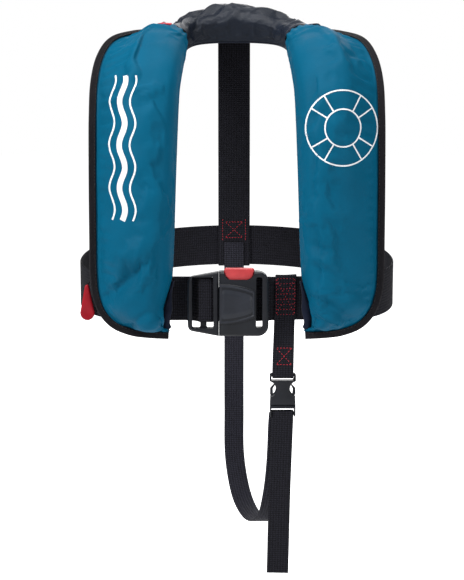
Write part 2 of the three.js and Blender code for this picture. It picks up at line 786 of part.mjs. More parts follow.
// A point of the belt's ring, on the wearer's left for side 1: share 0 where the straight front
// ends, 1 at the middle of the back.
function beltPoint(share, side) {
  const corner = WAIST_HALF_WIDTH - BELT_STRAIGHT_X;
  const turnY = BELT_Y + 1.15 * corner;
  const split = 0.28;
  if (share < split) {
    const angle = ((share / split) * Math.PI) / 2;
    const y = turnY - (turnY - BELT_Y) * Math.cos(angle);
    return v(side * (BELT_STRAIGHT_X + corner * Math.sin(angle)), y, beltZ(y));
  }
  const angle = (((share - split) / (1 - split)) * Math.PI) / 2;
  const y = turnY + (WAIST_BACK_Y - turnY) * Math.sin(angle);
  return v(side * WAIST_HALF_WIDTH * Math.cos(angle), y, beltZ(y));
}

const BELT_BOW = 1.95; // how far the curved belt falls back across the width of the back strap
const BELT_END_X = -84; // its end in the sleeve behind the wearer's right lobe
const ANCHOR = { x: 15.5, y: BUCKLE_BACK_Y - 3.5, halfX: 3, halfY: 2 }; // the housing's belt bar

// Between the buckle and the lobe the belt slants forward.
const SLANT_X = 38;
const SLANT_END_X = LOBE_INNER_X - 3;
const SLANT = 5;
const slantY = (x) => BELT_Y - (SLANT * (SLANT_END_X - x)) / (SLANT_END_X - SLANT_X);
const WRAP = GAP + WEB / 2; // from a bar's face to the middle of the webbing round it

// From the bar in the buckle housing, behind the lobe, round the back and into the other lobe.
function waistBelt() {
  const { x, y, halfX, halfY } = ANCHOR;
  const flat = (px, py) => v(px, py, 0);
  const loop = [
    flat(SLANT_X, slantY(SLANT_X) + LAYER + 0.3),
    flat(x + halfX + 7, y + halfY + WRAP + 0.5),
    ...bend(flat, [x - halfX, y + halfY], WRAP, 90, 180),
    ...bend(flat, [x - halfX, y - halfY], WRAP, 180, 270),
    ...bend(flat, [x + halfX, y - halfY], WRAP, 270, 290, 2),
    flat(x + halfX + 12, y + 1.6),
    flat(SLANT_X, slantY(SLANT_X)),
  ];
  const rear = [];
  const count = 12;
  for (let i = 0; i <= count; i++) rear.push(beltPoint(i / count, 1));
  for (let i = count - 1; i >= 0; i--) rear.push(beltPoint(i / count, -1));
  return strap(
    [...loop, flat(SLANT_END_X, BELT_Y), ...rear, flat(BELT_END_X, BELT_Y)],
    BELT_WIDTH,
    UP,
  );
}

const TONGUE_BAR = { x: -37.8, y: BUCKLE_BACK_Y - 8.2, halfX: 3.6, halfY: 2 };
const ADJUSTER_END_X = -112;

// From behind the lobe, up through the tongue, over its middle bar and back under itself.
function adjusterBelt() {
  const { x, y, halfX, halfY } = TONGUE_BAR;
  const flat = (px, py) => v(px, py, 0);
  const near = FIRST_LAYER_Y;
  const far = FIRST_LAYER_Y + LAYER;
  return strap(
    [
      flat(ADJUSTER_END_X, near),
      flat(-LOBE_INNER_X - 2, near),
      flat(TONGUE_LEFT_X - 0.5, near),
      flat(x - halfX - 8, near - 3),
      flat(x - halfX - WRAP - 1.4, y + halfY - 0.5),
      ...bend(flat, [x - halfX, y - halfY], WRAP, 190, 270),
      ...bend(flat, [x + halfX, y - halfY], WRAP, 270, 360),
      ...bend(flat, [x + halfX, y + halfY], WRAP, 0, 80),
      flat(x - halfX - 4, far - 1),
      flat(TONGUE_LEFT_X - 4, far),
      flat(ADJUSTER_END_X + 8, far),
    ],
    BELT_WIDTH,
    UP,
  );
}

// The back strap hangs from the collar's lining and is folded round the belt at the back.
function backStrap() {
  const top = across(MIDDLE);
  const under = (u) => onPanel(top, u, LINING_BACK - GAP - WEB / 2).setX(BACK_STRAP_X);
  const beltTop = WAIST_RISE + BELT_WIDTH / 2;
  const beltFoot = WAIST_RISE - BELT_WIDTH / 2;
  const front = WAIST_BACK_Y - LAYER - BELT_BOW;
  const rear = WAIST_BACK_Y + LAYER;
  const x = BACK_STRAP_X;
  return strap(
    [
      under(0.3),
      under(0.6),
      under(0.85),
      v(x, COLLAR_BACK_Y - 5.5, COLLAR_BACK_Z - 16),
      v(x, COLLAR_BACK_Y - 6.5, COLLAR_BACK_Z - 28),
      v(x, COLLAR_BACK_Y - 5.5, 220),
      v(x, front - 0.5, 120),
      v(x, front, beltTop + 6),
      ...bend((y, z) => v(x, y, z), [front + WRAP, beltFoot], WRAP, 180, 270),
      ...bend((y, z) => v(x, y, z), [rear - WRAP, beltFoot], WRAP, 270, 360),
      v(x, rear, beltTop + 1),
      v(x, rear - 1.3, beltTop + 6),
      v(x, front + LAYER, beltTop + 12),
      v(x, front + LAYER, beltTop + 22),
    ],
    BACK_STRAP_WIDTH,
    SIDEWAYS,
  );
}

const PLUG_BAR_Z = CLIP_TOP_Z - 47;
const PLUG_BAR_Y = CLIP_Y + 1;
const CROTCH_LOW_Z = -289;
const TAIL_END_Z = -320;
const CLIP_BAR_HALF = 2;
const TAB_LEAN = 3.4; // the tab leans this much to the side on its way up to the belt

// The crotch strap: down the back from the belt, forward between the legs and up to the clip.
function crotchStrap() {
  const start = WAIST_BACK_Y - 2 * LAYER - BELT_BOW;
  const route = new THREE.CatmullRomCurve3([
    v(BACK_STRAP_X, start, WAIST_RISE + 4),
    v(BACK_STRAP_X, start, 0),
    v(BACK_STRAP_X, start - 4, -70),
    v(BACK_STRAP_X, start - 9, -170),
    v(-2, start - 20, -235),
    v(7, 50, -276),
    v(22, -2, CROTCH_LOW_Z),
    v(36, -55, -272),
    v(43, -88, -232),
    v(CLIP_X - 5.6, -104, -188),
    v(CLIP_X - 4, PLUG_BAR_Y + 4.4, PLUG_BAR_Z - 14),
    v(CLIP_X - 3, PLUG_BAR_Y + CLIP_BAR_HALF + 2 * LAYER, PLUG_BAR_Z - 1),
  ]);
  return strap(route.getPoints(40), CROTCH_WIDTH, SIDEWAYS);
}

// Its free end, carried by the clip's plug: behind the plug's bar, over it and down the front.
function crotchStrapTail() {
  const x = CLIP_X - 0.3;
  const half = CLIP_BAR_HALF;
  const at = (y, z) => v(x, y, z);
  const route = [
    at(PLUG_BAR_Y + half + WRAP, PLUG_BAR_Z - 9),
    ...bend(at, [PLUG_BAR_Y + half, PLUG_BAR_Z + half], WRAP, 0, 90),
    ...bend(at, [PLUG_BAR_Y - half, PLUG_BAR_Z + half], WRAP, 90, 180),
    at(PLUG_BAR_Y - half - WRAP, PLUG_BAR_Z - 4),
    v(x - 0.6, PLUG_BAR_Y - half - WRAP - 0.6, PLUG_BAR_Z - 22),
    v(x - 3, PLUG_BAR_Y - half - WRAP - 2, (PLUG_BAR_Z + TAIL_END_Z) / 2),
    v(x - 5, PLUG_BAR_Y - half - WRAP - 3, TAIL_END_Z),
  ];
  return strap(route, CROTCH_WIDTH, SIDEWAYS);
}

// The tab: a loop of webbing round the front belt, hanging down to the clip's socket.
function clipTabStrap() {
  const half = BELT_WIDTH / 2;
  const bar = CLIP_BAR_HALF;
  const barZ = CLIP_TOP_Z - bar;
  const lean = (z) => CLIP_X + (Math.max(z - CLIP_TOP_Z - 10, 0) / (half - CLIP_TOP_Z)) * TAB_LEAN;
  const at = (y, z) => v(lean(z), y, z);
  const belt = slantY(lean(0));
  const beltRun = v(SLANT_END_X - SLANT_X, SLANT, 0).normalize();
  const widthAt = (p) => between(SIDEWAYS, beltRun, smooth((p.z + 70) / 40));
  const over = WEB / 2 + 0.6;
  return strap(
    [
      at(belt + over + WRAP, -half + 6),
      ...bend(at, [belt + over, half], WRAP, 0, 90),
      ...bend(at, [belt - over, half], WRAP, 90, 180),
      at(belt - over - WRAP, -half),
      at(CLIP_Y - bar - WRAP - 0.3, barZ + 26),
      ...bend(at, [CLIP_Y - bar, barZ - bar], WRAP, 180, 270),
      ...bend(at, [CLIP_Y + bar, barZ - bar], WRAP, 270, 360),
      at(CLIP_Y + bar + WRAP, CLIP_TOP_Z + 0.6),
      at(CLIP_Y - bar + 1.3, barZ + 12),
      at(CLIP_Y - bar + 1.1, barZ + 34),
    ],
    TAB_WIDTH,
    widthAt,
  );
}

const LOOP_WIDTH = 18;
const LOOP = 1.2;

// A loop on the lining's back that carries the belt.
function beltLoop(x) {
  const front = LINING_BACK_Y + GAP;
  const back = BELT_Y + WEB / 2 + GAP;
  const half = BELT_WIDTH / 2 + 1;
  const flange = 3.5;
  const [x0, x1] = [x - LOOP_WIDTH / 2, x + LOOP_WIDTH / 2];
  const outer = box(x0, x1, front, back + LOOP, -half - LOOP, half + LOOP);
  const tabs = box(x0, x1, front, front + LOOP, -half - flange, half + flange);
  return cut(join(outer, tabs), box(x - 50, x + 50, front - 5, back, -half, half));
}

// ---- the front buckle ----

const TONGUE_TRAVEL = 16; // pulled clear of the housing, just short of the lobe
const BLADE = {
  x1: BUCKLE_SEAM_X + TONGUE_TRAVEL - GAP,
  y0: BUCKLE_BACK_Y - 9.5,
  y1: BUCKLE_BACK_Y - 5.5,
  z0: -24,
  z1: 14,
};
const LUG = { x0: -12, x1: -8, z0: -3, z1: 1 };
const LATCH_X = [-14.5, -2]; // the two side edges of the latch
const FRONT_WALL = 2.2;
const BUTTON = {
  x0: -14.5,
  x1: 19.5,
  y0: BUCKLE_BACK_Y - BUCKLE_DEPTH + FRONT_WALL + GAP,
  y1: BUCKLE_BACK_Y - 8,
  z0: 22,
  z1: 36.5,
  travel: 4,
};
const SLOT_HALF = 29;
const SLOT_Z = BUCKLE_Z + 1.5;
const HOUSING_SLOT = { x0: 21.5, x1: 28.5 };
const TONGUE_SLOT_A = { x0: -50.5, x1: TONGUE_BAR.x - TONGUE_BAR.halfX };
const TONGUE_SLOT_B = { x0: TONGUE_BAR.x + TONGUE_BAR.halfX, x1: -26.5 };

const slotTool = ({ x0, x1 }) =>
  plate(
    roundedOutline(x0, x1, SLOT_Z - SLOT_HALF, SLOT_Z + SLOT_HALF, 2),
    60,
    BUCKLE_BACK_Y + 20,
    0,
    3,
  );

function buckleHousing() {
  const [z0, z1] = [BUCKLE_Z - BUCKLE_HEIGHT / 2, BUCKLE_Z + BUCKLE_HEIGHT / 2];
  const x0 = BUCKLE_SEAM_X + GAP;
  const outline = roundedOutline(x0, HOUSING_RIGHT_X, z0, z1, [0, 12, 12, 0]);
  const front = BUCKLE_BACK_Y - BUCKLE_DEPTH;
  const panel = new THREE.Shape();
  panel.moveTo(x0, BUCKLE_Z + 23);
  panel.quadraticCurveTo(4, BUCKLE_Z + 23, HOUSING_SLOT.x0 - 1, BUCKLE_Z + 15);
  panel.lineTo(HOUSING_SLOT.x0 - 1, BUCKLE_Z - 15);
  panel.quadraticCurveTo(4, BUCKLE_Z - 23, x0, BUCKLE_Z - 23);
  const body = join(
    plate(outline, BUCKLE_DEPTH, BUCKLE_BACK_Y, 2, 4),
    plate(panel, 3, front + 1.5, 0.8, 6),
  );
  const bar = box(
    ANCHOR.x - ANCHOR.halfX,
    ANCHOR.x + ANCHOR.halfX,
    ANCHOR.y - ANCHOR.halfY,
    ANCHOR.y + ANCHOR.halfY,
    SLOT_Z - SLOT_HALF - 1,
    SLOT_Z + SLOT_HALF + 1,
  );
  const [slotZ0, slotZ1] = [SLOT_Z - SLOT_HALF, SLOT_Z + SLOT_HALF];
  const pocket = BUTTON.z0 - BUTTON.travel - 0.5;
  const notch = roundedOutline(BUTTON.x0, BUTTON.x1, BUTTON.z0 + 1.5, 60, [9, 9, 0, 0]);
  const hollow = cut(
    body,
    // the belt's way behind the end bar and round the anchor bar to the slot
    box(9.5, HOUSING_SLOT.x1 - 1, ANCHOR.y - 5, 0, slotZ0, slotZ1),
    box(20, 60, BUCKLE_BACK_Y - 6, 0, slotZ0, slotZ1),
    slotTool(HOUSING_SLOT),
    // the blade's channel and the room for the latch behind it
    box(-FAR, BLADE.x1 + 1.5, BLADE.y0 - GAP, BLADE.y1 + GAP, BLADE.z0 - GAP, BLADE.z1 + GAP),
    box(-17, 8, BLADE.y1, 0, BUCKLE_Z - 32, 18),
    // the button's pocket, the notch that shows it, and its shaft to the latch
    box(BUTTON.x0 - GAP, BUTTON.x1 + GAP, BUTTON.y0 - GAP, BUTTON.y1 + GAP, pocket, FAR),
    plate(notch, 12, BUTTON.y0 + 1, 0, 4),
    box(LATCH_X[0] - 0.5, LATCH_X[1] + 0.5, BUTTON.y1 - 1, BLADE.y1 + 3.2, 10, FAR),
  );
  return join(hollow, bar);
}

function buckleBackPlate() {
  return box(-16.5, 7.5, BUCKLE_BACK_Y - 1.5, BUCKLE_BACK_Y, BUCKLE_Z - 31.5, 17.5);
}

// The red button: a cap in the housing's notch, with a lip that pushes the latch down.
function releaseButton() {
  const { x0, x1, y0, y1, z0, z1 } = BUTTON;
  const outline = roundedOutline(x0, x1, z0, z1, [9, 9, 3, 3]);
  const cap = plate(outline, y1 - y0 - GAP, y1, 1.5, 4);
  return join(cap, box(LATCH_X[0] + 2, LATCH_X[1] - 1, y1 - 1, BLADE.y1 + 2.6, z0 + 0.4, z0 + 4));
}

function latchPlate() {
  const { x0, x1, z0, z1 } = LUG;
  const face = BLADE.y1 + GAP + 0.5;
  const leaf = box(...LATCH_X, face, face + 1.8, BUCKLE_Z - 17, BUTTON.z0 - GAP + 0.4);
  return join(leaf, box(x0, x1, BLADE.y0 + 0.6, face + 0.5, z0, z1));
}

function buttonSpring() {
  const x = (LATCH_X[0] + LATCH_X[1]) / 2;
  const y = BLADE.y1 + 1.9;
  const [low, high] = [BUCKLE_Z - 31.5, BUCKLE_Z - 17 - GAP];
  const turns = 5;
  const points = [];
  for (let i = 0; i <= turns * 8; i++) {
    const angle = (i * Math.PI) / 4;
    const z = mix(low + 0.6, high - 0.6, i / (turns * 8));
    points.push(v(x + 3 * Math.cos(angle), y + 1.1 * Math.sin(angle), z));
  }
  const path = new THREE.CatmullRomCurve3(points);
  const wire = new THREE.Shape();
  wire.absarc(0, 0, 0.4, 0, Math.PI * 2, false);
  return new THREE.ExtrudeGeometry(wire, {
    extrudePath: path,
    steps: turns * 10,
    curveSegments: 2,
    bevelEnabled: false,
  });
}

function buckleTongue() {
  const half = BUCKLE_HEIGHT / 2;
  const endHalf = TONGUE_END_HEIGHT / 2;
  const [x0, x1] = [TONGUE_LEFT_X, BUCKLE_SEAM_X];
  const shape = new THREE.Shape();
  shape.moveTo(x1, BUCKLE_Z - half);
  shape.lineTo(x1, BUCKLE_Z + half);
  shape.lineTo(x0 + 6, BUCKLE_Z + endHalf + 3);
  shape.quadraticCurveTo(x0 + 1, BUCKLE_Z + endHalf + 2, x0 + 0.6, BUCKLE_Z + endHalf - 4);
  shape.quadraticCurveTo(x0 - 0.6, BUCKLE_Z, x0 + 0.6, BUCKLE_Z - endHalf + 4);
  shape.quadraticCurveTo(x0 + 1, BUCKLE_Z - endHalf - 2, x0 + 6, BUCKLE_Z - endHalf - 3);
  const back = BUCKLE_BACK_Y - 4;
  const [slotZ0, slotZ1] = [SLOT_Z - SLOT_HALF, SLOT_Z + SLOT_HALF];
  const frame = cut(
    plate(shape, BUCKLE_DEPTH - 4, back, 2, 5),
    slotTool(TONGUE_SLOT_A),
    slotTool(TONGUE_SLOT_B),
    box(TONGUE_SLOT_A.x0, TONGUE_SLOT_B.x1, -FAR, TONGUE_BAR.y - TONGUE_BAR.halfY, slotZ0, slotZ1),
    box(TONGUE_SLOT_A.x0, TONGUE_SLOT_B.x1, TONGUE_BAR.y + TONGUE_BAR.halfY, 0, slotZ0, slotZ1),
    box(TONGUE_LEFT_X - 5, TONGUE_SLOT_A.x0 + 1, BUCKLE_BACK_Y - 6.5, 0, slotZ0, slotZ1),
  );
  const { x1: tip, z0, z1, y0, y1 } = BLADE;
  const blade = plate(roundedOutline(x1 - 4, tip, z0, z1, [0, 6, 6, 0]), y1 - y0, y1, 0, 3);
  const [gapZ0, gapZ1] = [LUG.z0 - GAP, LUG.z1 + GAP];
  const low = gapZ0 - BUTTON.travel;
  // The lug rests in the first opening; with the button down it faces the second and can leave.
  return cut(
    join(frame, blade),
    box(LUG.x0 - 1, LUG.x1 + GAP, -FAR, 0, low, gapZ1),
    box(LUG.x0 - 1, FAR, -FAR, 0, low, LUG.z1 - BUTTON.travel + GAP),
  );
}

// ---- the side-release clip of the crotch strap ----

const CLIP_HALF = 15;
const CLIP_DEPTH = 9;
const CLIP_SLOT_HALF = CROTCH_WIDTH / 2 + 0.5;
const CLIP_MOUTH_Z = CLIP_TOP_Z - 37;
const CLIP_WALL_TOP_Z = CLIP_TOP_Z - 26.5; // where the prongs' shoulders hook over the walls
const CLIP_WALL = 1.8;
const PLUG_FOOT_Z = CLIP_TOP_Z - 51;

function clipSocket() {
  const top = CLIP_TOP_Z;
  const back = CLIP_Y + CLIP_DEPTH / 2;
  const neck = 8;
  const shape = new THREE.Shape();
  shape.moveTo(CLIP_X - CLIP_HALF + 0.3, CLIP_MOUTH_Z);
  shape.lineTo(CLIP_X + CLIP_HALF - 0.3, CLIP_MOUTH_Z);
  shape.lineTo(CLIP_X + CLIP_HALF - 0.8, CLIP_WALL_TOP_Z);
  shape.quadraticCurveTo(CLIP_X + neck, top - 24, CLIP_X + neck, top - 18);
  shape.quadraticCurveTo(CLIP_X + neck, top - 11.5, CLIP_X + CLIP_HALF, top - 9);
  shape.lineTo(CLIP_X + CLIP_HALF, top - 2);
  shape.lineTo(CLIP_X + CLIP_HALF - 2, top);
  shape.lineTo(CLIP_X - CLIP_HALF + 2, top);
  shape.lineTo(CLIP_X - CLIP_HALF, top - 2);
  shape.lineTo(CLIP_X - CLIP_HALF, top - 9);
  shape.quadraticCurveTo(CLIP_X - neck, top - 11.5, CLIP_X - neck, top - 18);
  shape.quadraticCurveTo(CLIP_X - neck, top - 24, CLIP_X - CLIP_HALF + 0.8, CLIP_WALL_TOP_Z);
  const [x0, x1] = [CLIP_X - CLIP_SLOT_HALF, CLIP_X + CLIP_SLOT_HALF];
  const inside = CLIP_HALF - 0.5 - CLIP_WALL;
  const slotFoot = top - 8.2;
  return cut(
    plate(shape, CLIP_DEPTH, back, 1.2, 4),
    box(x0, x1, -FAR, 0, slotFoot, top - 2 * CLIP_BAR_HALF),
    box(x0, x1, -FAR, CLIP_Y - CLIP_BAR_HALF, slotFoot, top + 1),
    box(x0, x1, CLIP_Y + CLIP_BAR_HALF, 0, slotFoot, top + 1),
    box(
      CLIP_X - inside,
      CLIP_X + inside,
      back - CLIP_DEPTH + CLIP_WALL,
      back - CLIP_WALL,
      -FAR,
      top - 12,
    ),
  );
}

// The plug's frame and its middle guide; the prongs stand either side of the guide.
function clipPlug() {
  const back = CLIP_Y + CLIP_DEPTH / 2;
  const top = CLIP_MOUTH_Z - GAP;
  const half = CLIP_HALF - 0.3;
  const outline = roundedOutline(CLIP_X - half, CLIP_X + half, PLUG_FOOT_Z, top, [3, 3, 0, 0]);
  const guide = box(CLIP_X - 2.2, CLIP_X + 2.2, CLIP_Y - 2.1, CLIP_Y + 2.1, top - 2, top + 18);
  const [x0, x1] = [CLIP_X - CLIP_SLOT_HALF, CLIP_X + CLIP_SLOT_HALF];
  const barTop = PLUG_BAR_Z + CLIP_BAR_HALF;
  const barFoot = PLUG_BAR_Z - CLIP_BAR_HALF;
  const prongSeat = [CLIP_Y - 2.4, CLIP_Y + 2.4, top - 2.4, top + 2];
  return cut(
    join(plate(outline, CLIP_DEPTH, back, 1.2, 3), guide),
    box(x0, x1, -FAR, 0, barTop, top - 3.2),
    box(x0, x1, -FAR, PLUG_BAR_Y - CLIP_BAR_HALF, -FAR, barTop + 1),
    box(x0, x1, PLUG_BAR_Y + CLIP_BAR_HALF, 0, -FAR, barTop + 1),
    box(x0, x1, -FAR, 0, -FAR, barFoot),
    box(CLIP_X - 12, CLIP_X - 4.2, ...prongSeat),
    box(CLIP_X + 4.2, CLIP_X + 12, ...prongSeat),
  );
}

// A prong: a bowed arm whose shoulder hooks over the socket's wall and shows at its side.
function clipProng(side) {
  const foot = CLIP_MOUTH_Z - GAP - 2.1;
  const outline = [
    [4.5, foot],
    [11.7, foot],
    [11.7, CLIP_WALL_TOP_Z + 0.4],
    [14.6, CLIP_WALL_TOP_Z + 2],
    [14.5, CLIP_TOP_Z - 17.5],
    [10.6, CLIP_TOP_Z - 13],
    [9, CLIP_TOP_Z - 13.5],
    [11.4, CLIP_TOP_Z - 18],
    [11, CLIP_TOP_Z - 23.5],
    [8.9, CLIP_WALL_TOP_Z],
    [8.3, CLIP_MOUTH_Z + 2],
    [4.5, CLIP_MOUTH_Z + 1],
  ];
  const shape = new THREE.Shape(outline.map(([x, z]) => new THREE.Vector2(CLIP_X + side * x, z)));
  return plate(shape, 4.2, CLIP_Y + 2.1);
}

// ---- the tag in the shoulder seam ----

function shoulderTag() {
  const line = coverLine(END - SHOULDER + 0.16);
  const lift = GAP + 1.4;
  const points = [0.42, 0.52, 0.64].map((u) =>
    onPanel(line, u, line.puff * profileAt(u) + COVER * u + lift),
  );
  return strap(points, 7, line.out.clone().cross(line.normal), 1);
}

// ---- the assembly ----

const NYLON = { color: 0x016b95, roughness: 0.62, metalness: 0 };
const CHARCOAL = { color: 0x1b1f2a, roughness: 0.6, metalness: 0 };
const NAVY = { color: 0x141a2e, roughness: 0.8, metalness: 0 };
const TAPE = { color: 0x17161a, roughness: 0.85, metalness: 0 };
const WEBBING = { color: 0x121317, roughness: 0.85, metalness: 0 };
const PLASTIC = { color: 0x22252b, roughness: 0.45, metalness: 0 };
const RED = { color: 0xb0202b, roughness: 0.4, metalness: 0 };
const STEEL = { color: 0x9a9da1, roughness: 0.35, metalness: 0.9 };
const BRASS = { color: 0xb59a4c, roughness: 0.35, metalness: 0.9 };
const BLADDER = { color: 0xe8c21a, roughness: 0.7, metalness: 0 };
const YELLOW = { color: 0xf0b020, roughness: 0.45, metalness: 0 };

const jacket = new THREE.Group();
jacket.position.set(0, -NECK_Y, -NECK_Z);

function add(name, geometry, look) {
  const mesh = new THREE.Mesh(geometry, new THREE.MeshStandardMaterial(look));
  mesh.name = name;
  jacket.add(mesh);
}

add("cover_left", coverLeft(), NYLON);
add("cover_right", coverRight(), NYLON);
add("collar_cover", collarCover(), CHARCOAL);
add("lining", lining(), NAVY);
add("edge_binding", edgeBinding(), TAPE);
add("closure_flap_left", closureFlap(false), NAVY);
add("closure_flap_right", closureFlap(true), NAVY);
add("bladder", bladder(), BLADDER);
add("inflator_manifold", inflatorManifold(), BRASS);
add("manifold_nut", manifoldNut(), STEEL);
add("inflator_body", inflatorBody(), PLASTIC);
add("firing_lever", firingLever(), PLASTIC);
add("lever_pin", leverPin(), STEEL);
add("firing_pin", firingPin(), STEEL);
add("cylinder_seal", cylinderSeal(), BRASS);
add("co2_cylinder", co2Cylinder(), STEEL);
add("pull_cord", pullCord(), TAPE);
add("pull_handle", pullHandle(), RED);
add("oral_tube", oralTube(), TAPE);
add("oral_valve_body", oralValveBody(), PLASTIC);
add("oral_valve_stem", oralValveStem(), RED);
add("oral_cap", oralCap(), PLASTIC);
add("whistle", whistle(), YELLOW);
add("whistle_cord", whistleCord(), TAPE);
add("waist_belt", waistBelt(), WEBBING);
add("adjuster_belt", adjusterBelt(), WEBBING);
add("back_strap", backStrap(), WEBBING);
add("crotch_strap", crotchStrap(), WEBBING);
add("crotch_strap_tail", crotchStrapTail(), WEBBING);
add("clip_tab_strap", clipTabStrap(), WEBBING);
[-116, -92, 92, 116].forEach((x, i) => add(`belt_loop_${i + 1}`, beltLoop(x), TAPE));
add("buckle_housing", buckleHousing(), PLASTIC);
add("buckle_back_plate", buckleBackPlate(), PLASTIC);
add("release_button", releaseButton(), RED);
add("latch_plate", latchPlate(), STEEL);
add("button_spring", buttonSpring(), STEEL);
add("buckle_tongue", buckleTongue(), PLASTIC);
add("clip_socket", clipSocket(), PLASTIC);
add("clip_plug", clipPlug(), PLASTIC);
add("clip_prong_left", clipProng(1), PLASTIC);
add("clip_prong_right", clipProng(-1), PLASTIC);
add("shoulder_tag", shoulderTag(), RED);

export default jacket;
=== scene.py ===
"""The looks of an inflatable life jacket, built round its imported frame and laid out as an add-on."""

import math

import bmesh
import bpy
import numpy as np
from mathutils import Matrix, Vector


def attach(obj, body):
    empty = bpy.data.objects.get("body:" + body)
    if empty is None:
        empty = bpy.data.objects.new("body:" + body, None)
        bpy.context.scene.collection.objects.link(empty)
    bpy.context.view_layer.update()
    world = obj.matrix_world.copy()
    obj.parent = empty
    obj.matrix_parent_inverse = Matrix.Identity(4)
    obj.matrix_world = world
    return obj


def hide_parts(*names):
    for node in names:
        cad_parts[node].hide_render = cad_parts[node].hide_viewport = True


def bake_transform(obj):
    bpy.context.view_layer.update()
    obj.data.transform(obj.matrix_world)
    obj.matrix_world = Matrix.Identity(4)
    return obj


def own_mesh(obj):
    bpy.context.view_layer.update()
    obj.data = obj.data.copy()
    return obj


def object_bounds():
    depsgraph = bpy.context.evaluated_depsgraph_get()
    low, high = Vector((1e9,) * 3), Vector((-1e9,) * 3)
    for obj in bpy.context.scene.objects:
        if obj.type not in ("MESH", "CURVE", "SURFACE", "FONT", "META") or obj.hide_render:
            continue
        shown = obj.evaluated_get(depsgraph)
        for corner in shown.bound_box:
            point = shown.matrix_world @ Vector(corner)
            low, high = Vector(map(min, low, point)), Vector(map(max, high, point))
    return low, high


bl_info = {
    "name": "Inflatable Life Jacket",
    "version": (1, 0, 0),
    "blender": (4, 5, 0),
    "location": "View3D > Sidebar > Life Jacket",
    "description": "Builds a junior inflatable life jacket in fabric, webbing and moulded plastic",
    "category": "Add Mesh",
}

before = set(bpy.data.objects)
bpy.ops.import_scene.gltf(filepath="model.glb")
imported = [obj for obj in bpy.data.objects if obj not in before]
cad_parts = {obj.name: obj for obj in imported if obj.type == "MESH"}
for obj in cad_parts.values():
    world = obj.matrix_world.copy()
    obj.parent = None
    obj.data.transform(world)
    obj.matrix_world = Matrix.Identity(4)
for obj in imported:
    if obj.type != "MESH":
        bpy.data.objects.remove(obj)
CAD_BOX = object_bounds()

# Sizes are in millimetres in the waist frame, whose origin is the middle of the front belt. The
# frame's own origin is the point of the collar on the back of the neck, in metres.
NECK = np.array([0.0, 41.0, 291.5])
UP = np.array([0.0, 0.0, 1.0])
SIDEWAYS = np.array([1.0, 0.0, 0.0])
FORWARD = np.array([0.0, -1.0, 0.0])

CHEST_Y = -112
LOBE_OUTER_X = 164
LOBE_INNER_X = 72
LOBE_BOTTOM_Z = -44
NECK_Y = 41
NECK_Z = 291.5
COLLAR_BACK_Y = 110
COLLAR_BACK_Z = 321
LOBE_PUFF = 42
SHOULDER_PUFF = 30
COLLAR_PUFF = 33
COVER = 2
LINING = 1.5
BINDING_WIDTH = 8
GAP = 0.3
CORD_DIAMETER = 2.8
PRINT_LIFT = 0.4
HEM_POINTS = 4
CORD_SLOT = (-147.8, -111.7, 39.1)  # where the pull cord passes through the lining
CORD_SLOT_RADIUS = 6
LENS_TAPER = 7.8  # how much less the lens's half height is at its narrow end
WEB = 1.6
LAYER = WEB + GAP
WRAP = GAP + WEB / 2


def to_row(points):
    """Points in millimetres in the waist frame, as metres in the frame of the part."""
    return (np.asarray(points, float) - NECK) / 1000


def smooth(t):
    """The cubic step: 0 below 0, 1 above 1, and 3t^2 - 2t^3 between."""
    t = np.clip(t, 0, 1)
    return t * t * (3 - 2 * t)


def unit(a):
    """Each vector divided by its length."""
    return a / np.maximum(np.linalg.norm(a, axis=-1, keepdims=True), 1e-12)


def catmull(points, t):
    """The centripetal Catmull-Rom curve through points: each span takes an equal share of t, and
    its end slopes are weighted by the square roots of the spans' lengths."""
    p = np.asarray(points, float)
    ends = np.vstack([2 * p[0] - p[1], p, 2 * p[-1] - p[-2]])
    place = np.clip(np.asarray(t, float), 0, 1) * (len(p) - 1)
    k = np.minimum(place.astype(int), len(p) - 2)
    w = (place - k)[:, None]
    a, b, c, d = ends[k], ends[k + 1], ends[k + 2], ends[k + 3]
    gap = [np.maximum(((q - r) ** 2).sum(1) ** 0.25, 1e-4)[:, None] for q, r in ((b, a), (c, b), (d, c))]
    slope_b = (b - a) / gap[0] - (c - a) / (gap[0] + gap[1]) + (c - b) / gap[1]
    slope_c = (c - b) / gap[1] - (d - b) / (gap[1] + gap[2]) + (d - c) / gap[2]
    slope_b, slope_c = slope_b * gap[1], slope_c * gap[1]
    square = -3 * b + 3 * c - 2 * slope_b - slope_c
    cube = 2 * b - 2 * c + slope_b + slope_c
    return b + slope_b * w + square * w**2 + cube * w**3


# ---- the panel: two lobes joined by the collar ----

INNER_HALF = [
    (LOBE_INNER_X + 5, CHEST_Y, LOBE_BOTTOM_Z + BINDING_WIDTH),
    (LOBE_INNER_X + 5, CHEST_Y, LOBE_BOTTOM_Z + 11),
    (LOBE_INNER_X + 5, CHEST_Y, LOBE_BOTTOM_Z + 17),
    (LOBE_INNER_X + 4.5, CHEST_Y, LOBE_BOTTOM_Z + 27),
    (LOBE_INNER_X + 3.5, CHEST_Y, -5),
    (LOBE_INNER_X + 2, CHEST_Y, 10),
    (LOBE_INNER_X + 0.5, CHEST_Y, 28),
    (LOBE_INNER_X - 1.5, CHEST_Y, 65),
    (LOBE_INNER_X - 3, CHEST_Y + 1, 110),
    (LOBE_INNER_X - 4.5, CHEST_Y + 4, 155),
    (LOBE_INNER_X - 6, CHEST_Y + 13, 198),
    (LOBE_INNER_X - 7.5, -82, 233),
    (LOBE_INNER_X - 9.5, -58, 252),
    (LOBE_INNER_X - 10.5, -30, 264),
    (LOBE_INNER_X - 11.5, -5, NECK_Z - 17.5),
    (LOBE_INNER_X - 14, NECK_Y - 23, NECK_Z - 8.5),
    (LOBE_INNER_X - 25, NECK_Y - 6, NECK_Z - 3),
    (LOBE_INNER_X - 47, NECK_Y - 1, NECK_Z - 0.5),
    (0, NECK_Y, NECK_Z),
]
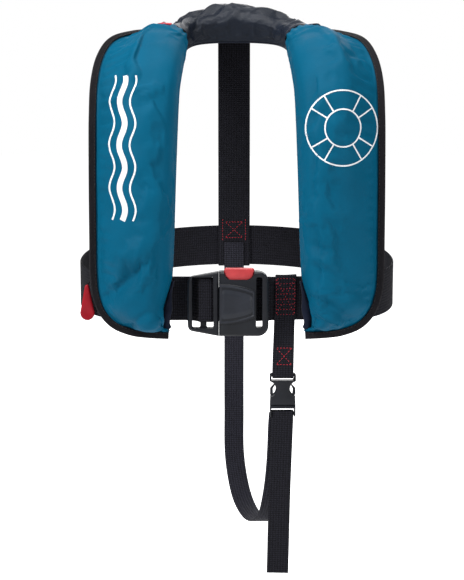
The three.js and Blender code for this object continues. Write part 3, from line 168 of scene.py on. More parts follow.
OUTER_HALF = [
    (LOBE_INNER_X + 5.5, CHEST_Y, LOBE_BOTTOM_Z),
    (LOBE_OUTER_X - 66, CHEST_Y, LOBE_BOTTOM_Z + 1),
    (LOBE_OUTER_X - 44, CHEST_Y, LOBE_BOTTOM_Z + 4),
    (LOBE_OUTER_X - 23, CHEST_Y, LOBE_BOTTOM_Z + 13),
    (LOBE_OUTER_X - 9, CHEST_Y, -15),
    (LOBE_OUTER_X - 2, CHEST_Y, 6),
    (LOBE_OUTER_X, CHEST_Y, 30),
    (LOBE_OUTER_X, CHEST_Y, 68),
    (LOBE_OUTER_X, CHEST_Y + 1, 115),
    (LOBE_OUTER_X, CHEST_Y + 5, 160),
    (LOBE_OUTER_X, CHEST_Y + 13, 205),
    (LOBE_OUTER_X - 1, -83, 244),
    (LOBE_OUTER_X - 6, -58, 272),
    (LOBE_OUTER_X - 17, -28, 291),
    (LOBE_OUTER_X - 40, 5, COLLAR_BACK_Z - 21),
    (LOBE_OUTER_X - 70, COLLAR_BACK_Y - 65, COLLAR_BACK_Z - 16),
    (LOBE_OUTER_X - 93, COLLAR_BACK_Y - 34, COLLAR_BACK_Z - 9),
    (LOBE_OUTER_X - 127, COLLAR_BACK_Y - 9, COLLAR_BACK_Z - 2),
    (0, COLLAR_BACK_Y, COLLAR_BACK_Z),
]
MIDDLE = len(INNER_HALF) - 1
END = 2 * MIDDLE
SHOULDER = 14


def whole_edge(half):
    """Half an edge and its mirror image, from one lobe's foot to the other's."""
    return [*half, *[(-x, y, z) for x, y, z in half[-2::-1]]]


INNER_EDGE = whole_edge(INNER_HALF)
OUTER_EDGE = whole_edge(OUTER_HALF)


def across(steps):
    """Lines across the panel at outline steps: both edges from their curves, the normal as the
    line's direction times the edges' run, and the seam a binding's width short of the outer edge."""
    t = np.asarray(steps, float) / END
    inner, edge = catmull(INNER_EDGE, t), catmull(OUTER_EDGE, t)
    width = unit(edge - inner)
    ahead, behind = np.minimum(t + 0.002, 1), np.maximum(t - 0.002, 0)
    run = unit(catmull(OUTER_EDGE, ahead) - catmull(OUTER_EDGE, behind))
    along = unit(catmull(INNER_EDGE, ahead) - catmull(INNER_EDGE, behind)) + run
    normal = unit(np.cross(width, along))
    flat = (np.abs(width[:, 1]) + np.abs(run[:, 1])) < 1e-6
    normal[flat] = FORWARD
    out = unit(np.cross(run, normal))
    short = BINDING_WIDTH / np.maximum((width * out).sum(1), 0.3)
    seam = edge - width * short[:, None]
    reach = np.linalg.norm(seam - inner, axis=1)
    from_middle = np.abs(np.asarray(steps, float) - MIDDLE)
    puff = COLLAR_PUFF + (SHOULDER_PUFF - COLLAR_PUFF) * smooth(from_middle / 4)
    puff = puff + (LOBE_PUFF - puff) * smooth((from_middle - 4) / 5)
    puff = puff * np.sqrt(smooth(reach / 75))
    return {"inner": inner, "edge": edge, "seam": seam, "normal": normal, "out": out,
            "reach": reach, "puff": puff}


FLAP_OVERHANG = 3.2
RECESS = 8
RECESS_TOP = 31


def recess_at(line):
    """How far a cover's inner edge draws back at the closure: a cubic step down from its top."""
    down = (RECESS_TOP - line["inner"][:, 2]) / (RECESS_TOP - LOBE_BOTTOM_Z)
    return RECESS * smooth(1.5 * down)


def cover_line(steps):
    """The lines across with their inner ends drawn back for the cover."""
    line = across(steps)
    share = np.minimum(recess_at(line) / line["reach"], 0.5)[:, None]
    line["inner"] = line["inner"] + (line["seam"] - line["inner"]) * share
    return line


PUFF_PROFILE = np.array([
    (0, 0), (0.012, 0.34), (0.05, 0.66), (0.13, 0.89), (0.27, 1), (0.44, 0.98), (0.61, 0.85),
    (0.77, 0.59), (0.9, 0.29), (1, 0),
])

# Soft folds of the fabric: both ends (x, z), half width and depth. Depths below 0 are creases.
FOLDS = [
    (-104, 62, -146, 42, 12, 4.6), (-108, 40, -150, 0, 7, -5.4), (-104, 14, -140, -14, 11, 3.6),
    (-94, -8, -124, -30, 5, -2.6), (-84, -20, -112, -34, 6, 2.2), (-82, 60, -86, -10, 6, -1.6),
    (-152, 60, -156, 10, 6, -1.4), (-118, 120, -128, 70, 16, 1.2), (-90, 200, -98, 120, 9, -0.9),
    (78, 66, 106, 60, 4.5, -3.0), (80, 52, 112, 44, 5.5, 3.2), (86, 42, 120, 26, 5, -3.2),
    (80, 20, 112, 4, 7, 3.2), (94, 8, 130, -24, 6, -5.0), (118, 6, 146, -10, 10, 3.6),
    (84, -14, 110, -34, 5, -2.0), (140, 80, 152, 20, 8, 1.4), (128, 170, 136, 90, 18, 1.0),
    (98, 215, 90, 150, 10, -0.9), (146, 150, 152, 90, 7, -0.9),
]


def fold_height(x, z):
    """The sum of the folds: each is a bell across its line, fading towards both ends."""
    total = np.zeros_like(x)
    for x0, z0, x1, z1, wide, deep in FOLDS:
        dx, dz = x1 - x0, z1 - z0
        length = dx * dx + dz * dz
        t = ((x - x0) * dx + (z - z0) * dz) / length
        off = ((x - x0) * dz - (z - z0) * dx) / math.sqrt(length)
        fade = smooth((t + 0.25) / 0.5) * smooth((1.25 - t) / 0.5)
        total += deep * np.exp(-((off / wide) ** 2)) * fade
    return total


def waves(x, y, seed, count, longest, shortest):
    """A sum of sine waves in fixed pseudo-random directions, the shorter ones lower, about 1 high."""
    rng = np.random.default_rng(seed)
    total = np.zeros_like(x)
    weight = 0
    for k in range(count):
        length = longest * (shortest / longest) ** (k / max(count - 1, 1))
        angle, phase = rng.uniform(0, math.pi), rng.uniform(0, 2 * math.pi)
        high = math.sqrt(length / longest)
        total += high * np.sin(2 * math.pi * (x * math.cos(angle) + y * math.sin(angle)) / length + phase)
        weight += high
    return total / weight * 1.6


def grid_normals(points):
    """Unit normals of a grid of points, the cross product of its two gradients."""
    return unit(np.cross(np.gradient(points, axis=0), np.gradient(points, axis=1)))


def lengths_along(points, axis):
    """Running lengths along one axis of a grid, from 0."""
    step = np.linalg.norm(np.diff(points, axis=axis), axis=2)
    total = np.cumsum(step, axis=axis)
    pad = [(1, 0), (0, 0)] if axis == 0 else [(0, 0), (1, 0)]
    return np.pad(total, pad)


# ---- meshes ----


def new_object(name, points, faces, uv=None):
    """A mesh object from points in the waist frame, faces and a place on the cloth per point."""
    mesh = bpy.data.meshes.new(name)
    mesh.from_pydata(to_row(points).tolist(), [], faces)
    mesh.update()
    obj = bpy.data.objects.new(name, mesh)
    bpy.context.scene.collection.objects.link(obj)
    if uv is not None:
        layer = mesh.uv_layers.new(name="cloth")
        corner = np.empty(len(mesh.loops), np.int32)
        mesh.loops.foreach_get("vertex_index", corner)
        layer.data.foreach_set("uv", (np.asarray(uv, float)[corner] / 1000).ravel())
    mesh.shade_smooth()
    return obj


def grid_faces(rows, columns, wrap=False):
    """Quads of a grid of points, with the last column joined to the first if it wraps."""
    a = np.arange(rows - 1)[:, None] * columns
    b = np.arange(columns if wrap else columns - 1)[None, :]
    c = (b + 1) % columns
    quads = np.stack([a + b, a + columns + b, a + columns + c, a + c], axis=2)
    return quads.reshape(-1, 4).tolist()


def sheet_object(name, points, outward, hole=None):
    """An open grid as an object: its faces look along outward, its map is its own two lengths, and
    faces whose middles lie within a hole, given by its centre and radius, are left out."""
    rows, columns = points.shape[:2]
    facing = np.nanmean((grid_normals(points) * outward).sum(2))
    faces = np.array(grid_faces(rows, columns))
    if facing < 0:
        faces = faces[:, ::-1]
    places = points.reshape(-1, 3)
    if hole is not None:
        centre, radius = hole
        middles = places[faces].mean(axis=1)
        faces = faces[np.linalg.norm(middles - centre, axis=1) >= radius]
    used, corners = np.unique(faces, return_inverse=True)
    uv = np.stack([lengths_along(points, 0), lengths_along(points, 1)], axis=2).reshape(-1, 2)
    return new_object(name, places[used], corners.reshape(-1, 4).tolist(), uv[used])


def tube_object(name, rings, uv=None):
    """A closed skin over rings of points, with a flat cap on each end."""
    rows, columns = rings.shape[:2]
    faces = grid_faces(rows, columns, wrap=True)
    faces.append(list(range(columns))[::-1])
    faces.append(list(range((rows - 1) * columns, rows * columns)))
    obj = new_object(name, rings.reshape(-1, 3), faces, uv)
    outwards(obj)
    return obj


def outwards(obj):
    """Turns the faces of a closed mesh outwards."""
    shape = bmesh.new()
    shape.from_mesh(obj.data)
    bmesh.ops.recalc_face_normals(shape, faces=shape.faces)
    shape.to_mesh(obj.data)
    shape.free()


def apply_modifiers(obj):
    """Replaces an object's mesh by what its modifiers make of it."""
    graph = bpy.context.evaluated_depsgraph_get()
    made = bpy.data.meshes.new_from_object(obj.evaluated_get(graph), depsgraph=graph)
    obj.modifiers.clear()
    obj.data = made


def thicken(obj, thickness, offset=-1):
    """Gives a sheet a wall of that many millimetres, inwards unless told otherwise."""
    wall = obj.modifiers.new("wall", "SOLIDIFY")
    wall.thickness = thickness / 1000
    wall.offset = offset
    wall.use_even_offset = False
    apply_modifiers(obj)


def finish(obj, material, body, slot, *nodes):
    """Gives a piece its material and its body, and hides the frame's nodes that it stands for. The slot is
    not used.
    """
    obj.data.materials.clear()
    obj.data.materials.append(MATERIALS[material])
    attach(obj, body)
    if nodes:
        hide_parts(*nodes)


# ---- materials ----

MATERIALS = {}


class Finish:
    """A Principled material being made, with helpers for the nodes of its patterns."""

    def __init__(self, name, roughness, metallic=0.0, sheen=0.0, coat=0.0, specular=0.5):
        self.material = bpy.data.materials.new(name)
        self.material.use_nodes = True
        self.tree = self.material.node_tree
        self.shader = self.tree.nodes["Principled BSDF"]
        self.shader.inputs["Roughness"].default_value = roughness
        self.shader.inputs["Metallic"].default_value = metallic
        self.shader.inputs["Sheen Weight"].default_value = sheen
        self.shader.inputs["Sheen Roughness"].default_value = 0.4
        self.shader.inputs["Coat Weight"].default_value = coat
        self.shader.inputs["Specular IOR Level"].default_value = specular
        MATERIALS[name] = self.material

    def node(self, kind, **values):
        """A node with its properties and, by name, its inputs' values."""
        made = self.tree.nodes.new(kind)
        for key, value in values.items():
            if hasattr(made, key):
                setattr(made, key, value)
            else:
                made.inputs[key.replace("_", " ")].default_value = value
        return made

    def link(self, source, target):
        """Joins an output to an input."""
        self.tree.links.new(source, target)

    def place(self, uv=False, stretch=(1, 1, 1)):
        """Where a point is: on the object, or on its cloth, stretched along each axis."""
        coordinates = self.node("ShaderNodeTexCoord")
        mapping = self.node("ShaderNodeMapping")
        mapping.inputs["Scale"].default_value = stretch
        self.link(coordinates.outputs["UV" if uv else "Object"], mapping.inputs["Vector"])
        return mapping.outputs["Vector"]

    def noise(self, place, scale, detail=3.0, rough=0.55):
        """Cloudy noise, as a factor."""
        made = self.node("ShaderNodeTexNoise", Scale=scale, Detail=detail, Roughness=rough)
        self.link(place, made.inputs["Vector"])
        return made.outputs["Fac"]

    def bands(self, place, direction, period):
        """Sine bands across one direction, with a period in metres."""
        made = self.node("ShaderNodeTexWave", bands_direction=direction, Scale=math.pi / 10 / period)
        made.inputs["Distortion"].default_value = 0.0
        self.link(place, made.inputs["Vector"])
        return made.outputs["Fac"]

    def maths(self, operation, a, b):
        """One step of arithmetic between outputs or numbers."""
        made = self.node("ShaderNodeMath", operation=operation)
        for value, socket in ((a, made.inputs[0]), (b, made.inputs[1])):
            if isinstance(value, (int, float)):
                socket.default_value = value
            else:
                self.link(value, socket)
        return made.outputs[0]

    def between(self, factor, low, high, start=0.0, stop=1.0):
        """A colour from low to high as the factor goes from start to stop."""
        ramp = self.node("ShaderNodeValToRGB")
        first, last = ramp.color_ramp.elements
        first.position, last.position = start, stop
        first.color, last.color = (*low, 1), (*high, 1)
        self.link(factor, ramp.inputs["Fac"])
        return ramp.outputs["Color"]

    def colour(self, output):
        """Sends a pattern to the base colour."""
        self.link(output, self.shader.inputs["Base Color"])

    def roughness(self, factor, low, high):
        """Lets a factor move the roughness between two values."""
        made = self.node("ShaderNodeMapRange")
        made.inputs["To Min"].default_value = low
        made.inputs["To Max"].default_value = high
        self.link(factor, made.inputs["Value"])
        self.link(made.outputs["Result"], self.shader.inputs["Roughness"])

    def bump(self, *layers):
        """Stacks height patterns: each is an output, its height in millimetres and its strength."""
        below = None
        for height, millimetres, strength in layers:
            made = self.node("ShaderNodeBump", Strength=strength, Distance=millimetres / 1000)
            self.link(height, made.inputs["Height"])
            if below is not None:
                self.link(below, made.inputs["Normal"])
            below = made.outputs["Normal"]
        self.link(below, self.shader.inputs["Normal"])


def shade(colour, factor):
    """A colour made lighter or darker."""
    return tuple(min(c * factor, 1.0) for c in tuple(colour)[:3])


def cloth_finish(name, colour, roughness, sheen, period, crinkle=0.0, contrast=0.2, specular=0.12):
    """A woven cloth: two crossed sets of threads, cloudy colour, and crinkles where asked for."""
    made = Finish(name, roughness, sheen=sheen, specular=specular)
    cloth = made.place(uv=True)
    place = made.place()
    threads = made.maths("MAXIMUM", made.bands(cloth, "X", period), made.bands(cloth, "Y", period))
    cloud = made.noise(place, 22.0, 4.0)
    grain = made.noise(place, 900.0, 2.0)
    tone = made.maths("ADD", made.maths("MULTIPLY", cloud, 0.8), made.maths("MULTIPLY", grain, 0.2))
    made.colour(made.between(tone, shade(colour, 1 - contrast), shade(colour, 1 + contrast), 0.3, 0.7))
    made.roughness(grain, roughness - 0.06, roughness + 0.08)
    layers = [(threads, 0.12, 0.35), (grain, 0.15, 0.25)]
    if crinkle:
        small = made.noise(made.place(stretch=(1.0, 1.0, 1.6)), 190.0, 5.0, 0.62)
        layers = [(small, crinkle, 0.8), *layers]
    made.bump(*layers)


def webbing_finish(name, colour, rib=2.5, low=0.3, high=2.6):
    """Webbing: ribs across its length, cords along it, and a few paler worn threads. The ribs and cords also
    lighten and darken the colour, as a painted highlight on the threads' crests and painted shade in the
    hollows between them.
    """
    made = Finish(name, 0.72, sheen=0.03, specular=0.12)
    cloth = made.place(uv=True)
    ribs = made.bands(cloth, "Y", rib / 1000)
    cords = made.bands(cloth, "X", rib * 1.25 / 1000)
    weave = made.maths("MULTIPLY", made.maths("ADD", ribs, 0.35), made.maths("ADD", cords, 0.55))
    wear = made.noise(made.place(uv=True, stretch=(1, 0.2, 1)), 420.0, 3.0)
    # The weave's share of the colour is a painted highlight on the threads' crests and painted shade between
    # them; the wear noise is random tone.
    tone = made.maths("ADD", made.maths("MULTIPLY", weave, 0.4), made.maths("MULTIPLY", wear, 0.5))
    made.colour(made.between(tone, shade(colour, low), shade(colour, high), 0.25, 0.8))
    made.roughness(wear, 0.62, 0.82)
    made.bump((weave, 0.4, 0.9), (wear, 0.3, 0.6))


def plastic_finish(name, colour, roughness, grain=0.05, coat=0.0, specular=0.3):
    """Moulded plastic: fine spark grain, faint flow clouds, and a slightly uneven gloss."""
    made = Finish(name, roughness, coat=coat, specular=specular)
    place = made.place()
    fine = made.noise(place, 1500.0, 2.0)
    cloud = made.noise(place, 45.0, 3.0)
    made.colour(made.between(cloud, shade(colour, 0.85), shade(colour, 1.15), 0.35, 0.65))
    made.roughness(cloud, max(roughness - 0.07, 0.05), roughness + 0.09)
    made.bump((fine, grain, 0.5))


def metal_finish(name, colour, roughness):
    """Turned or drawn metal: fine streaks round the piece and a clouded polish."""
    made = Finish(name, roughness, metallic=1.0)
    streaks = made.noise(made.place(stretch=(1, 1, 24)), 260.0, 3.0)
    cloud = made.noise(made.place(), 60.0, 3.0)
    made.colour(made.between(cloud, shade(colour, 0.88), shade(colour, 1.08), 0.3, 0.7))
    made.roughness(streaks, roughness - 0.08, roughness + 0.14)
    made.bump((streaks, 0.02, 0.3))


def thread_finish(name, colour):
    """Sewing thread: a close twist seen as fine noise."""
    made = Finish(name, 0.55, sheen=0.2, specular=0.35)
    twist = made.noise(made.place(), 1800.0, 2.0)
    made.colour(made.between(twist, shade(colour, 0.75), shade(colour, 1.2), 0.3, 0.7))
    made.bump((twist, 0.1, 0.5))


def make_materials(look):
    """Every finish of the jacket, from the user's colours."""
    cloth_finish("lobe_nylon", look.nylon, 0.6, 0.0, look.weave, crinkle=0.4, contrast=0.1, specular=0.08)
    cloth_finish("collar_nylon", look.collar, 0.42, 0.0, look.weave, 1.2, contrast=0.25, specular=0.24)
    cloth_finish("lining_mesh", (0.012, 0.015, 0.026), 0.85, 0.3, look.weave * 2.4, contrast=0.3)
    cloth_finish("closure_tape", (0.008, 0.011, 0.024), 0.8, 0.1, look.weave * 1.5,
                 crinkle=0.3, contrast=0.3)
    cloth_finish("bladder_film", (0.8, 0.52, 0.02), 0.6, 0.05, look.weave, contrast=0.1)
    cloth_finish("white_print", (0.86, 0.88, 0.9), 0.55, 0.0, look.weave, contrast=0.03)
    cloth_finish("red_tag", (0.5, 0.02, 0.04), 0.7, 0.2, 0.0012, contrast=0.3)
    webbing_finish("webbing", look.webbing)
    webbing_finish("crotch_webbing", shade(look.webbing, 1.9))
    webbing_finish("edge_tape", look.tape, rib=1.4, low=0.4, high=2.0)
    plastic_finish("buckle_plastic", look.plastic, 0.42)
    plastic_finish("lens_plastic", shade(look.plastic, 2.0), 0.45, grain=0.09)
    plastic_finish("inner_plastic", (0.02, 0.021, 0.025), 0.45)
    plastic_finish("signal_red", look.button, 0.3, coat=0.1, grain=0.02)
    plastic_finish("handle_red", look.handle, 0.4, grain=0.03, specular=0.2)
    plastic_finish("whistle_plastic", (0.85, 0.42, 0.02), 0.3, coat=0.2, grain=0.02)
    metal_finish("steel", (0.6, 0.6, 0.62), 0.3)
    metal_finish("brass", (0.72, 0.52, 0.22), 0.32)
    thread_finish("red_thread", look.thread)
    thread_finish("dark_thread", (0.02, 0.02, 0.024))


# ---- fabric pieces ----


def profile_points(count):
    """The puffed section as a smooth curve through its corners: share of width, share of height."""
    t = np.linspace(0, 1, count)
    curve = catmull(PUFF_PROFILE, t)
    return curve[:, 0], np.maximum(curve[:, 1], 0)


def outer_drop(steps, shares):
    """How much of its height a lobe keeps: the outer half lies lower where the lobe turns over the
    shoulder and at its foot, so that the tape round it shows from the front."""
    turn = np.exp(-(((np.abs(steps - MIDDLE) - 5.6) / 2.0) ** 2))[:, None]
    foot = np.exp(-((np.minimum(steps, END - steps) / 2.6) ** 2))[:, None]
    return 1 - (0.3 * turn + 0.25 * foot) * smooth((shares - 0.58) / 0.3)


def skin_over(line, u, h):
    """The plain skin over lines across the panel: raised along their normals by a section of shares
    u and heights h, with a flat hem from the seam to the edge. Gives the points, the skin's own
    normals and each column's share of the width."""
    shares = np.concatenate([u, np.ones(HEM_POINTS)])[None]
    u = u[None, :, None]
    rise = (line["puff"][:, None] * h + COVER * u[..., 0])[..., None]
    skin = line["inner"][:, None] + (line["seam"] - line["inner"])[:, None] * u
    skin = skin + line["normal"][:, None] * rise
    edge = line["edge"][:, None] + line["normal"][:, None] * COVER
    hem_share = np.linspace(0, 1, HEM_POINTS + 1)[1:, None]
    hem = skin[:, -1:] + (edge - skin[:, -1:]) * hem_share[None]
    points = np.concatenate([skin, hem], axis=1)
    out = grid_normals(points)
    out[(out * line["normal"][:, None]).sum(2).mean(1) < 0] *= -1
    return points, out, shares


def cover_points(steps, look, count=64):
    """A cover's outer skin: the plain skin moved along its own normals by puckers and gathers. The
    large folds are given back as heights, to be added once the cloth has settled."""
    line = cover_line(steps)
    u, h = profile_points(count)
    points, out, shares = skin_over(line, u, h[None] * outer_drop(steps, u[None]))
    inside = smooth(shares / 0.05) * smooth((1 - shares) / 0.04)
    x, y, z = points[..., 0], points[..., 1], points[..., 2]
    run = lengths_along(points, 0)[:, -1:]
    from_seam = (1 - shares) * line["reach"][:, None]
    corner = smooth((6 - np.minimum(steps, END - steps)) / 5)[:, None]
    pucker = np.sin(run / 2.1 + 1.3 * np.sin(run / 17)) * np.exp(-from_seam / 9)
    gather = np.sin(run / 3.6 + 2 * np.sin(run / 23)) * np.exp(-from_seam / 26)
    gather = gather * (0.5 + 0.5 * np.sin(run / 31))
    to_collar = np.abs(np.abs(steps - MIDDLE) - (MIDDLE - SHOULDER))[:, None]
    shoulder = np.sin(shares * 55 + 2 * np.sin(shares * 9)) * np.exp(-to_collar / 0.55)
    folds = look.fold_depth * fold_height(x, z) * smooth((260 - z) / 60) * inside
    moved = 0.9 * waves(x, z + y, 3, 5, 120, 34)
    moved = moved + 0.45 * pucker + (0.5 + 0.4 * corner) * gather + 0.8 * shoulder
    return points + out * (moved * inside)[..., None], out, folds


def collar_points(steps, count=64):
    """The collar's outer skin: the plain skin crinkled by sharp-crested waves, with part of the
    largest given back as folds."""
    points, out, shares = skin_over(cover_line(steps), *profile_points(count))
    inside = smooth(shares / 0.04) * smooth((1 - shares) / 0.05)
    run = lengths_along(points, 0)
    wide = lengths_along(points, 1)
    peaks = 1 - 2 * np.abs(waves(run * 0.8, wide, 21, 4, 90, 40))
    creases = 1 - 2 * np.abs(waves(run, wide * 0.7, 12, 5, 64, 22))
    moved = 1.3 * peaks + 1.1 * creases + 0.6 * waves(run * 0.5, wide, 11, 5, 24, 8)
    folds = 0.8 * peaks * inside
    return points + out * (moved * inside)[..., None], out, folds


def fabric_steps(first, last, per_step=16):
    """Evenly spaced outline steps between two of them."""
    return np.linspace(first, last, int((last - first) * per_step) + 1)


def inflate(obj, pinned, pressure, spare, outward, cap=4.0, sink=0.7, frames=14):
    """Cloth under pressure: the pinned points stay, the cloth has some spare length so that it
    buckles, and no point ends further than the cap from where it began, or deeper than the sink
    below it, as the bladder inside would hold it up."""
    start = np.empty(len(obj.data.vertices) * 3)
    obj.data.vertices.foreach_get("co", start)
    start = start.reshape(-1, 3)
    group = obj.vertex_groups.new(name="sewn")
    for weight in np.unique(pinned):
        if weight > 0:
            group.add(np.flatnonzero(pinned == weight).tolist(), float(weight), "REPLACE")
    cloth = obj.modifiers.new("cloth", "CLOTH")
    settings = cloth.settings
    settings.quality = 6
    settings.mass = 0.2
    settings.tension_stiffness = 40
    settings.compression_stiffness = 40
    settings.shear_stiffness = 20
    settings.bending_stiffness = 0.35
    settings.air_damping = 6
    settings.vertex_group_mass = "sewn"
    settings.shrink_min = -spare
    settings.use_pressure = True
    settings.uniform_pressure_force = pressure
    settings.effector_weights.gravity = 0
    cloth.collision_settings.use_collision = False
    scene = bpy.context.scene
    for number in range(1, frames + 1):
        scene.frame_set(number)
    apply_modifiers(obj)
    scene.frame_set(1)
    ended = np.empty_like(start).ravel()
    obj.data.vertices.foreach_get("co", ended)
    moved = ended.reshape(-1, 3) - start
    far = np.linalg.norm(moved, axis=1, keepdims=True)
    moved = moved * np.minimum(1, cap / 1000 / np.maximum(far, 1e-9))
    outward = outward.reshape(-1, 3)
    rise = (moved * outward).sum(1, keepdims=True)
    kept = start + moved + outward * (np.maximum(rise, -sink / 1000) - rise)
    obj.data.vertices.foreach_set("co", kept.ravel())
    obj.data.update()
    obj.vertex_groups.clear()


def lift(obj, outward, heights):
    """Moves a grid's points outwards by their heights in millimetres."""
    place = np.empty(len(obj.data.vertices) * 3)
    obj.data.vertices.foreach_get("co", place)
    place += (outward * heights[..., None]).ravel() / 1000
    obj.data.vertices.foreach_set("co", place)
    obj.data.update()


def pins(rows, columns, foot=3, hem=9, end=5):
    """Pin weights of a cover's grid: the foot and the hem are sewn, the ends fade in."""
    row, column = np.arange(rows), np.arange(columns)
    by_column = np.maximum(smooth((foot + 2 - column) / 4), smooth((column - (columns - hem - 2)) / 4))
    by_row = np.maximum(smooth((end + 3 - row) / 4), smooth((row - (rows - end - 4)) / 4))
    weight = np.maximum(by_column[None, :], by_row[:, None])
    return np.round(weight.ravel(), 1)


def make_cover(name, first, last, material, slot, node, look, shape):
    """One cover as its own piece: skin, cloth under pressure, wall."""
    steps = fabric_steps(first, last)
    points, out, folds = shape(steps)
    obj = sheet_object(name, points, out)
    inflate(obj, pins(*points.shape[:2]), look.pressure, look.spare_cloth, out)
    lift(obj, out, folds)
    thicken(obj, 1.3)
    finish(obj, material, "jacket", slot, node)


def lining_points(steps, height, count=34):
    """The lining: lines across the panel at a height along their normals, faintly quilted."""
    line = across(steps)
    u = np.linspace(0, 1, count)[None, :, None]
    points = line["inner"][:, None] + (line["edge"] - line["inner"])[:, None] * u
    run = lengths_along(points, 0)[:, -1:]
    share = u[..., 0]
    quilt = 0.25 * np.sin(run / 9) * np.sin(share * 16) * smooth(share * 8) * smooth((1 - share) * 8)
    return points + line["normal"][:, None] * (height + quilt[..., None] - 0.25), line


def binding_points(steps):
    """The edge tape: a tape's middle line round the edge, in the plane across the edge: along the
    front, half a turn round the fold, and back along the lining, faintly waved by its stitches."""
    line = across(steps)
    front, back = COVER + GAP + 0.5, -GAP - LINING - GAP - 0.5
    turn = np.linspace(0, math.pi, 9)[1:-1]
    middle, half = (front + back) / 2, (front - back) / 2
    a = np.concatenate([np.linspace(1.9 - BINDING_WIDTH, 0.2, 7), 0.2 + 1.5 * np.sin(turn),
                        np.linspace(0.2, -BINDING_WIDTH, 7)])
    h = np.concatenate([np.full(7, front), middle + half * np.cos(turn), np.full(7, back)])
    points = line["edge"][:, None] + line["out"][:, None] * a[None, :, None]
    points = points + line["normal"][:, None] * h[None, :, None]
    run = lengths_along(points, 0)[:, 9:10]
    raised = (0.22 * np.sin(run / 0.9) * np.exp(-((a[None] + 4.2) / 1.6) ** 2) + 0.25 * np.sin(run / 13))
    sign = np.where(np.arange(len(a)) < 10, 1, -1)[None]
    points = points + line["normal"][:, None] * (raised * sign * 0.6)[..., None]
    outward = points - (line["edge"] + line["out"] * -4)[:, None]
    return points, outward, line


def flap_points(steps, mirrored):
    """The closure's strip: from the panel's inner edge to the drawn-back cover, softly crowned."""
    line = across(END - steps if mirrored else steps)
    width = unit(line["seam"] - line["inner"])
    reach = np.maximum(np.minimum(recess_at(line), line["reach"] * 0.5) - GAP, 0.6)
    t = np.linspace(0, 1, 12)
    crown = 4.2 * np.sqrt(np.sin(np.pi * np.clip(t * 0.9 + 0.04, 0, 1))) + 0.3
    overhang = FLAP_OVERHANG * (1 - t)[None] * (0.7 + 0.3 * np.sin(np.asarray(steps) * 2.3))[:, None]
    points = line["inner"][:, None] + width[:, None] * (reach[:, None] * t - overhang)[..., None]
    ripple = 0.3 * np.sin(lengths_along(points, 0) / 2.4)
    points = points + line["normal"][:, None] * (crown[None] + ripple)[..., None]
    foot = line["inner"][:, None] - width[:, None] * (0.2 + overhang[:, :1, None] * 0.6)
    points = np.concatenate([foot, points], axis=1)
    return points, np.broadcast_to(line["normal"][:, None], points.shape)


# ---- webbing ----


def evenly(points, spacing, curved=True):
    """Points along a route at an even spacing, on a smooth curve through the given ones."""
    points = np.asarray(points, float)
    if curved:
        points = catmull(points, np.linspace(0, 1, 40 * len(points)))
    length = np.concatenate([[0], np.cumsum(np.linalg.norm(np.diff(points, axis=0), axis=1))])
    at = np.linspace(0, length[-1], max(int(length[-1] / spacing), 2) + 1)
    return np.stack([np.interp(at, length, points[:, k]) for k in range(3)], axis=1), at


def strap_object(name, points, width, wide, thickness=WEB, spacing=2.4):
    """Webbing: a thin flat section with rounded edges, carried along a route. Its width lies along
    the given direction, or a direction per point, squared to the route."""
    route, at = evenly(points, spacing)
    along = unit(np.gradient(route, axis=0))
    wide = wide(route) if callable(wide) else np.broadcast_to(wide, route.shape)
    side = unit(wide - along * (wide * along).sum(1)[:, None])
    face = np.cross(along, side)
    half, thin = width / 2, thickness / 2
    flat = np.linspace(-half + thin, half - thin, 9)
    turn = np.linspace(-math.pi / 2, math.pi / 2, 5)[1:-1]
    rounded = half - thin + thin * np.cos(turn)
    a = np.concatenate([flat, rounded, flat[::-1], -rounded])
    b = np.concatenate([np.full(9, -thin), thin * np.sin(turn), np.full(9, thin), -thin * np.sin(turn)])
    rings = route[:, None] + side[:, None] * a[None, :, None] + face[:, None] * b[None, :, None]
    uv = np.stack(np.broadcast_arrays(a[None], at[:, None]), axis=2).reshape(-1, 2)
    return tube_object(name, rings, uv)


def bend(place, centre, radius, first, last, count=5):
    """Points of a route that turns round a centre, between two directions in degrees."""
    angles = np.radians(np.linspace(first, last, count))
    return [place(centre[0] + radius * math.cos(q), centre[1] + radius * math.sin(q)) for q in angles]


LINING_BACK_Y = CHEST_Y + GAP + LINING
FIRST_LAYER_Y = LINING_BACK_Y + GAP + WEB / 2
BELT_Y = FIRST_LAYER_Y + 2 * LAYER
BELT_STRAIGHT_X = 125
WAIST_HALF_WIDTH = 183
WAIST_BACK_Y = 110
WAIST_RISE = 37.5
BACK_STRAP_X = -3
BELT_WIDTH = 50
BACK_STRAP_WIDTH = 40
CROTCH_WIDTH = 25
TAB_WIDTH = 24
BUCKLE_BACK_Y = -111
BUCKLE_FRONT_Y = BUCKLE_BACK_Y - 17.5
LENS_LEFT = -19
LENS_RIGHT = 19.3
LENS_MIDDLE_Z = -4
LENS_HALF = 22
SPRING_X = -8.25
SPRING_Y = BUCKLE_BACK_Y - 3.6
SPRING_FOOT_Z = -35.5
SPRING_LENGTH = 14.2
SPRING_TURNS = 5
TONGUE_LEFT_X = -56
BELT_BOW = 1.95
BIGHT = 6.3
SLANT_X = 38
SLANT_END_X = LOBE_INNER_X - 3
SLANT = 5
CLIP_X = 52.3
CLIP_TOP_Z = -85.5
CLIP_Y = -111
CLIP_BAR_HALF = 2
PLUG_BAR_Z = CLIP_TOP_Z - 47
PLUG_BAR_Y = CLIP_Y + 1
TAIL_END_Z = -320
CROTCH_LOW_Z = -289


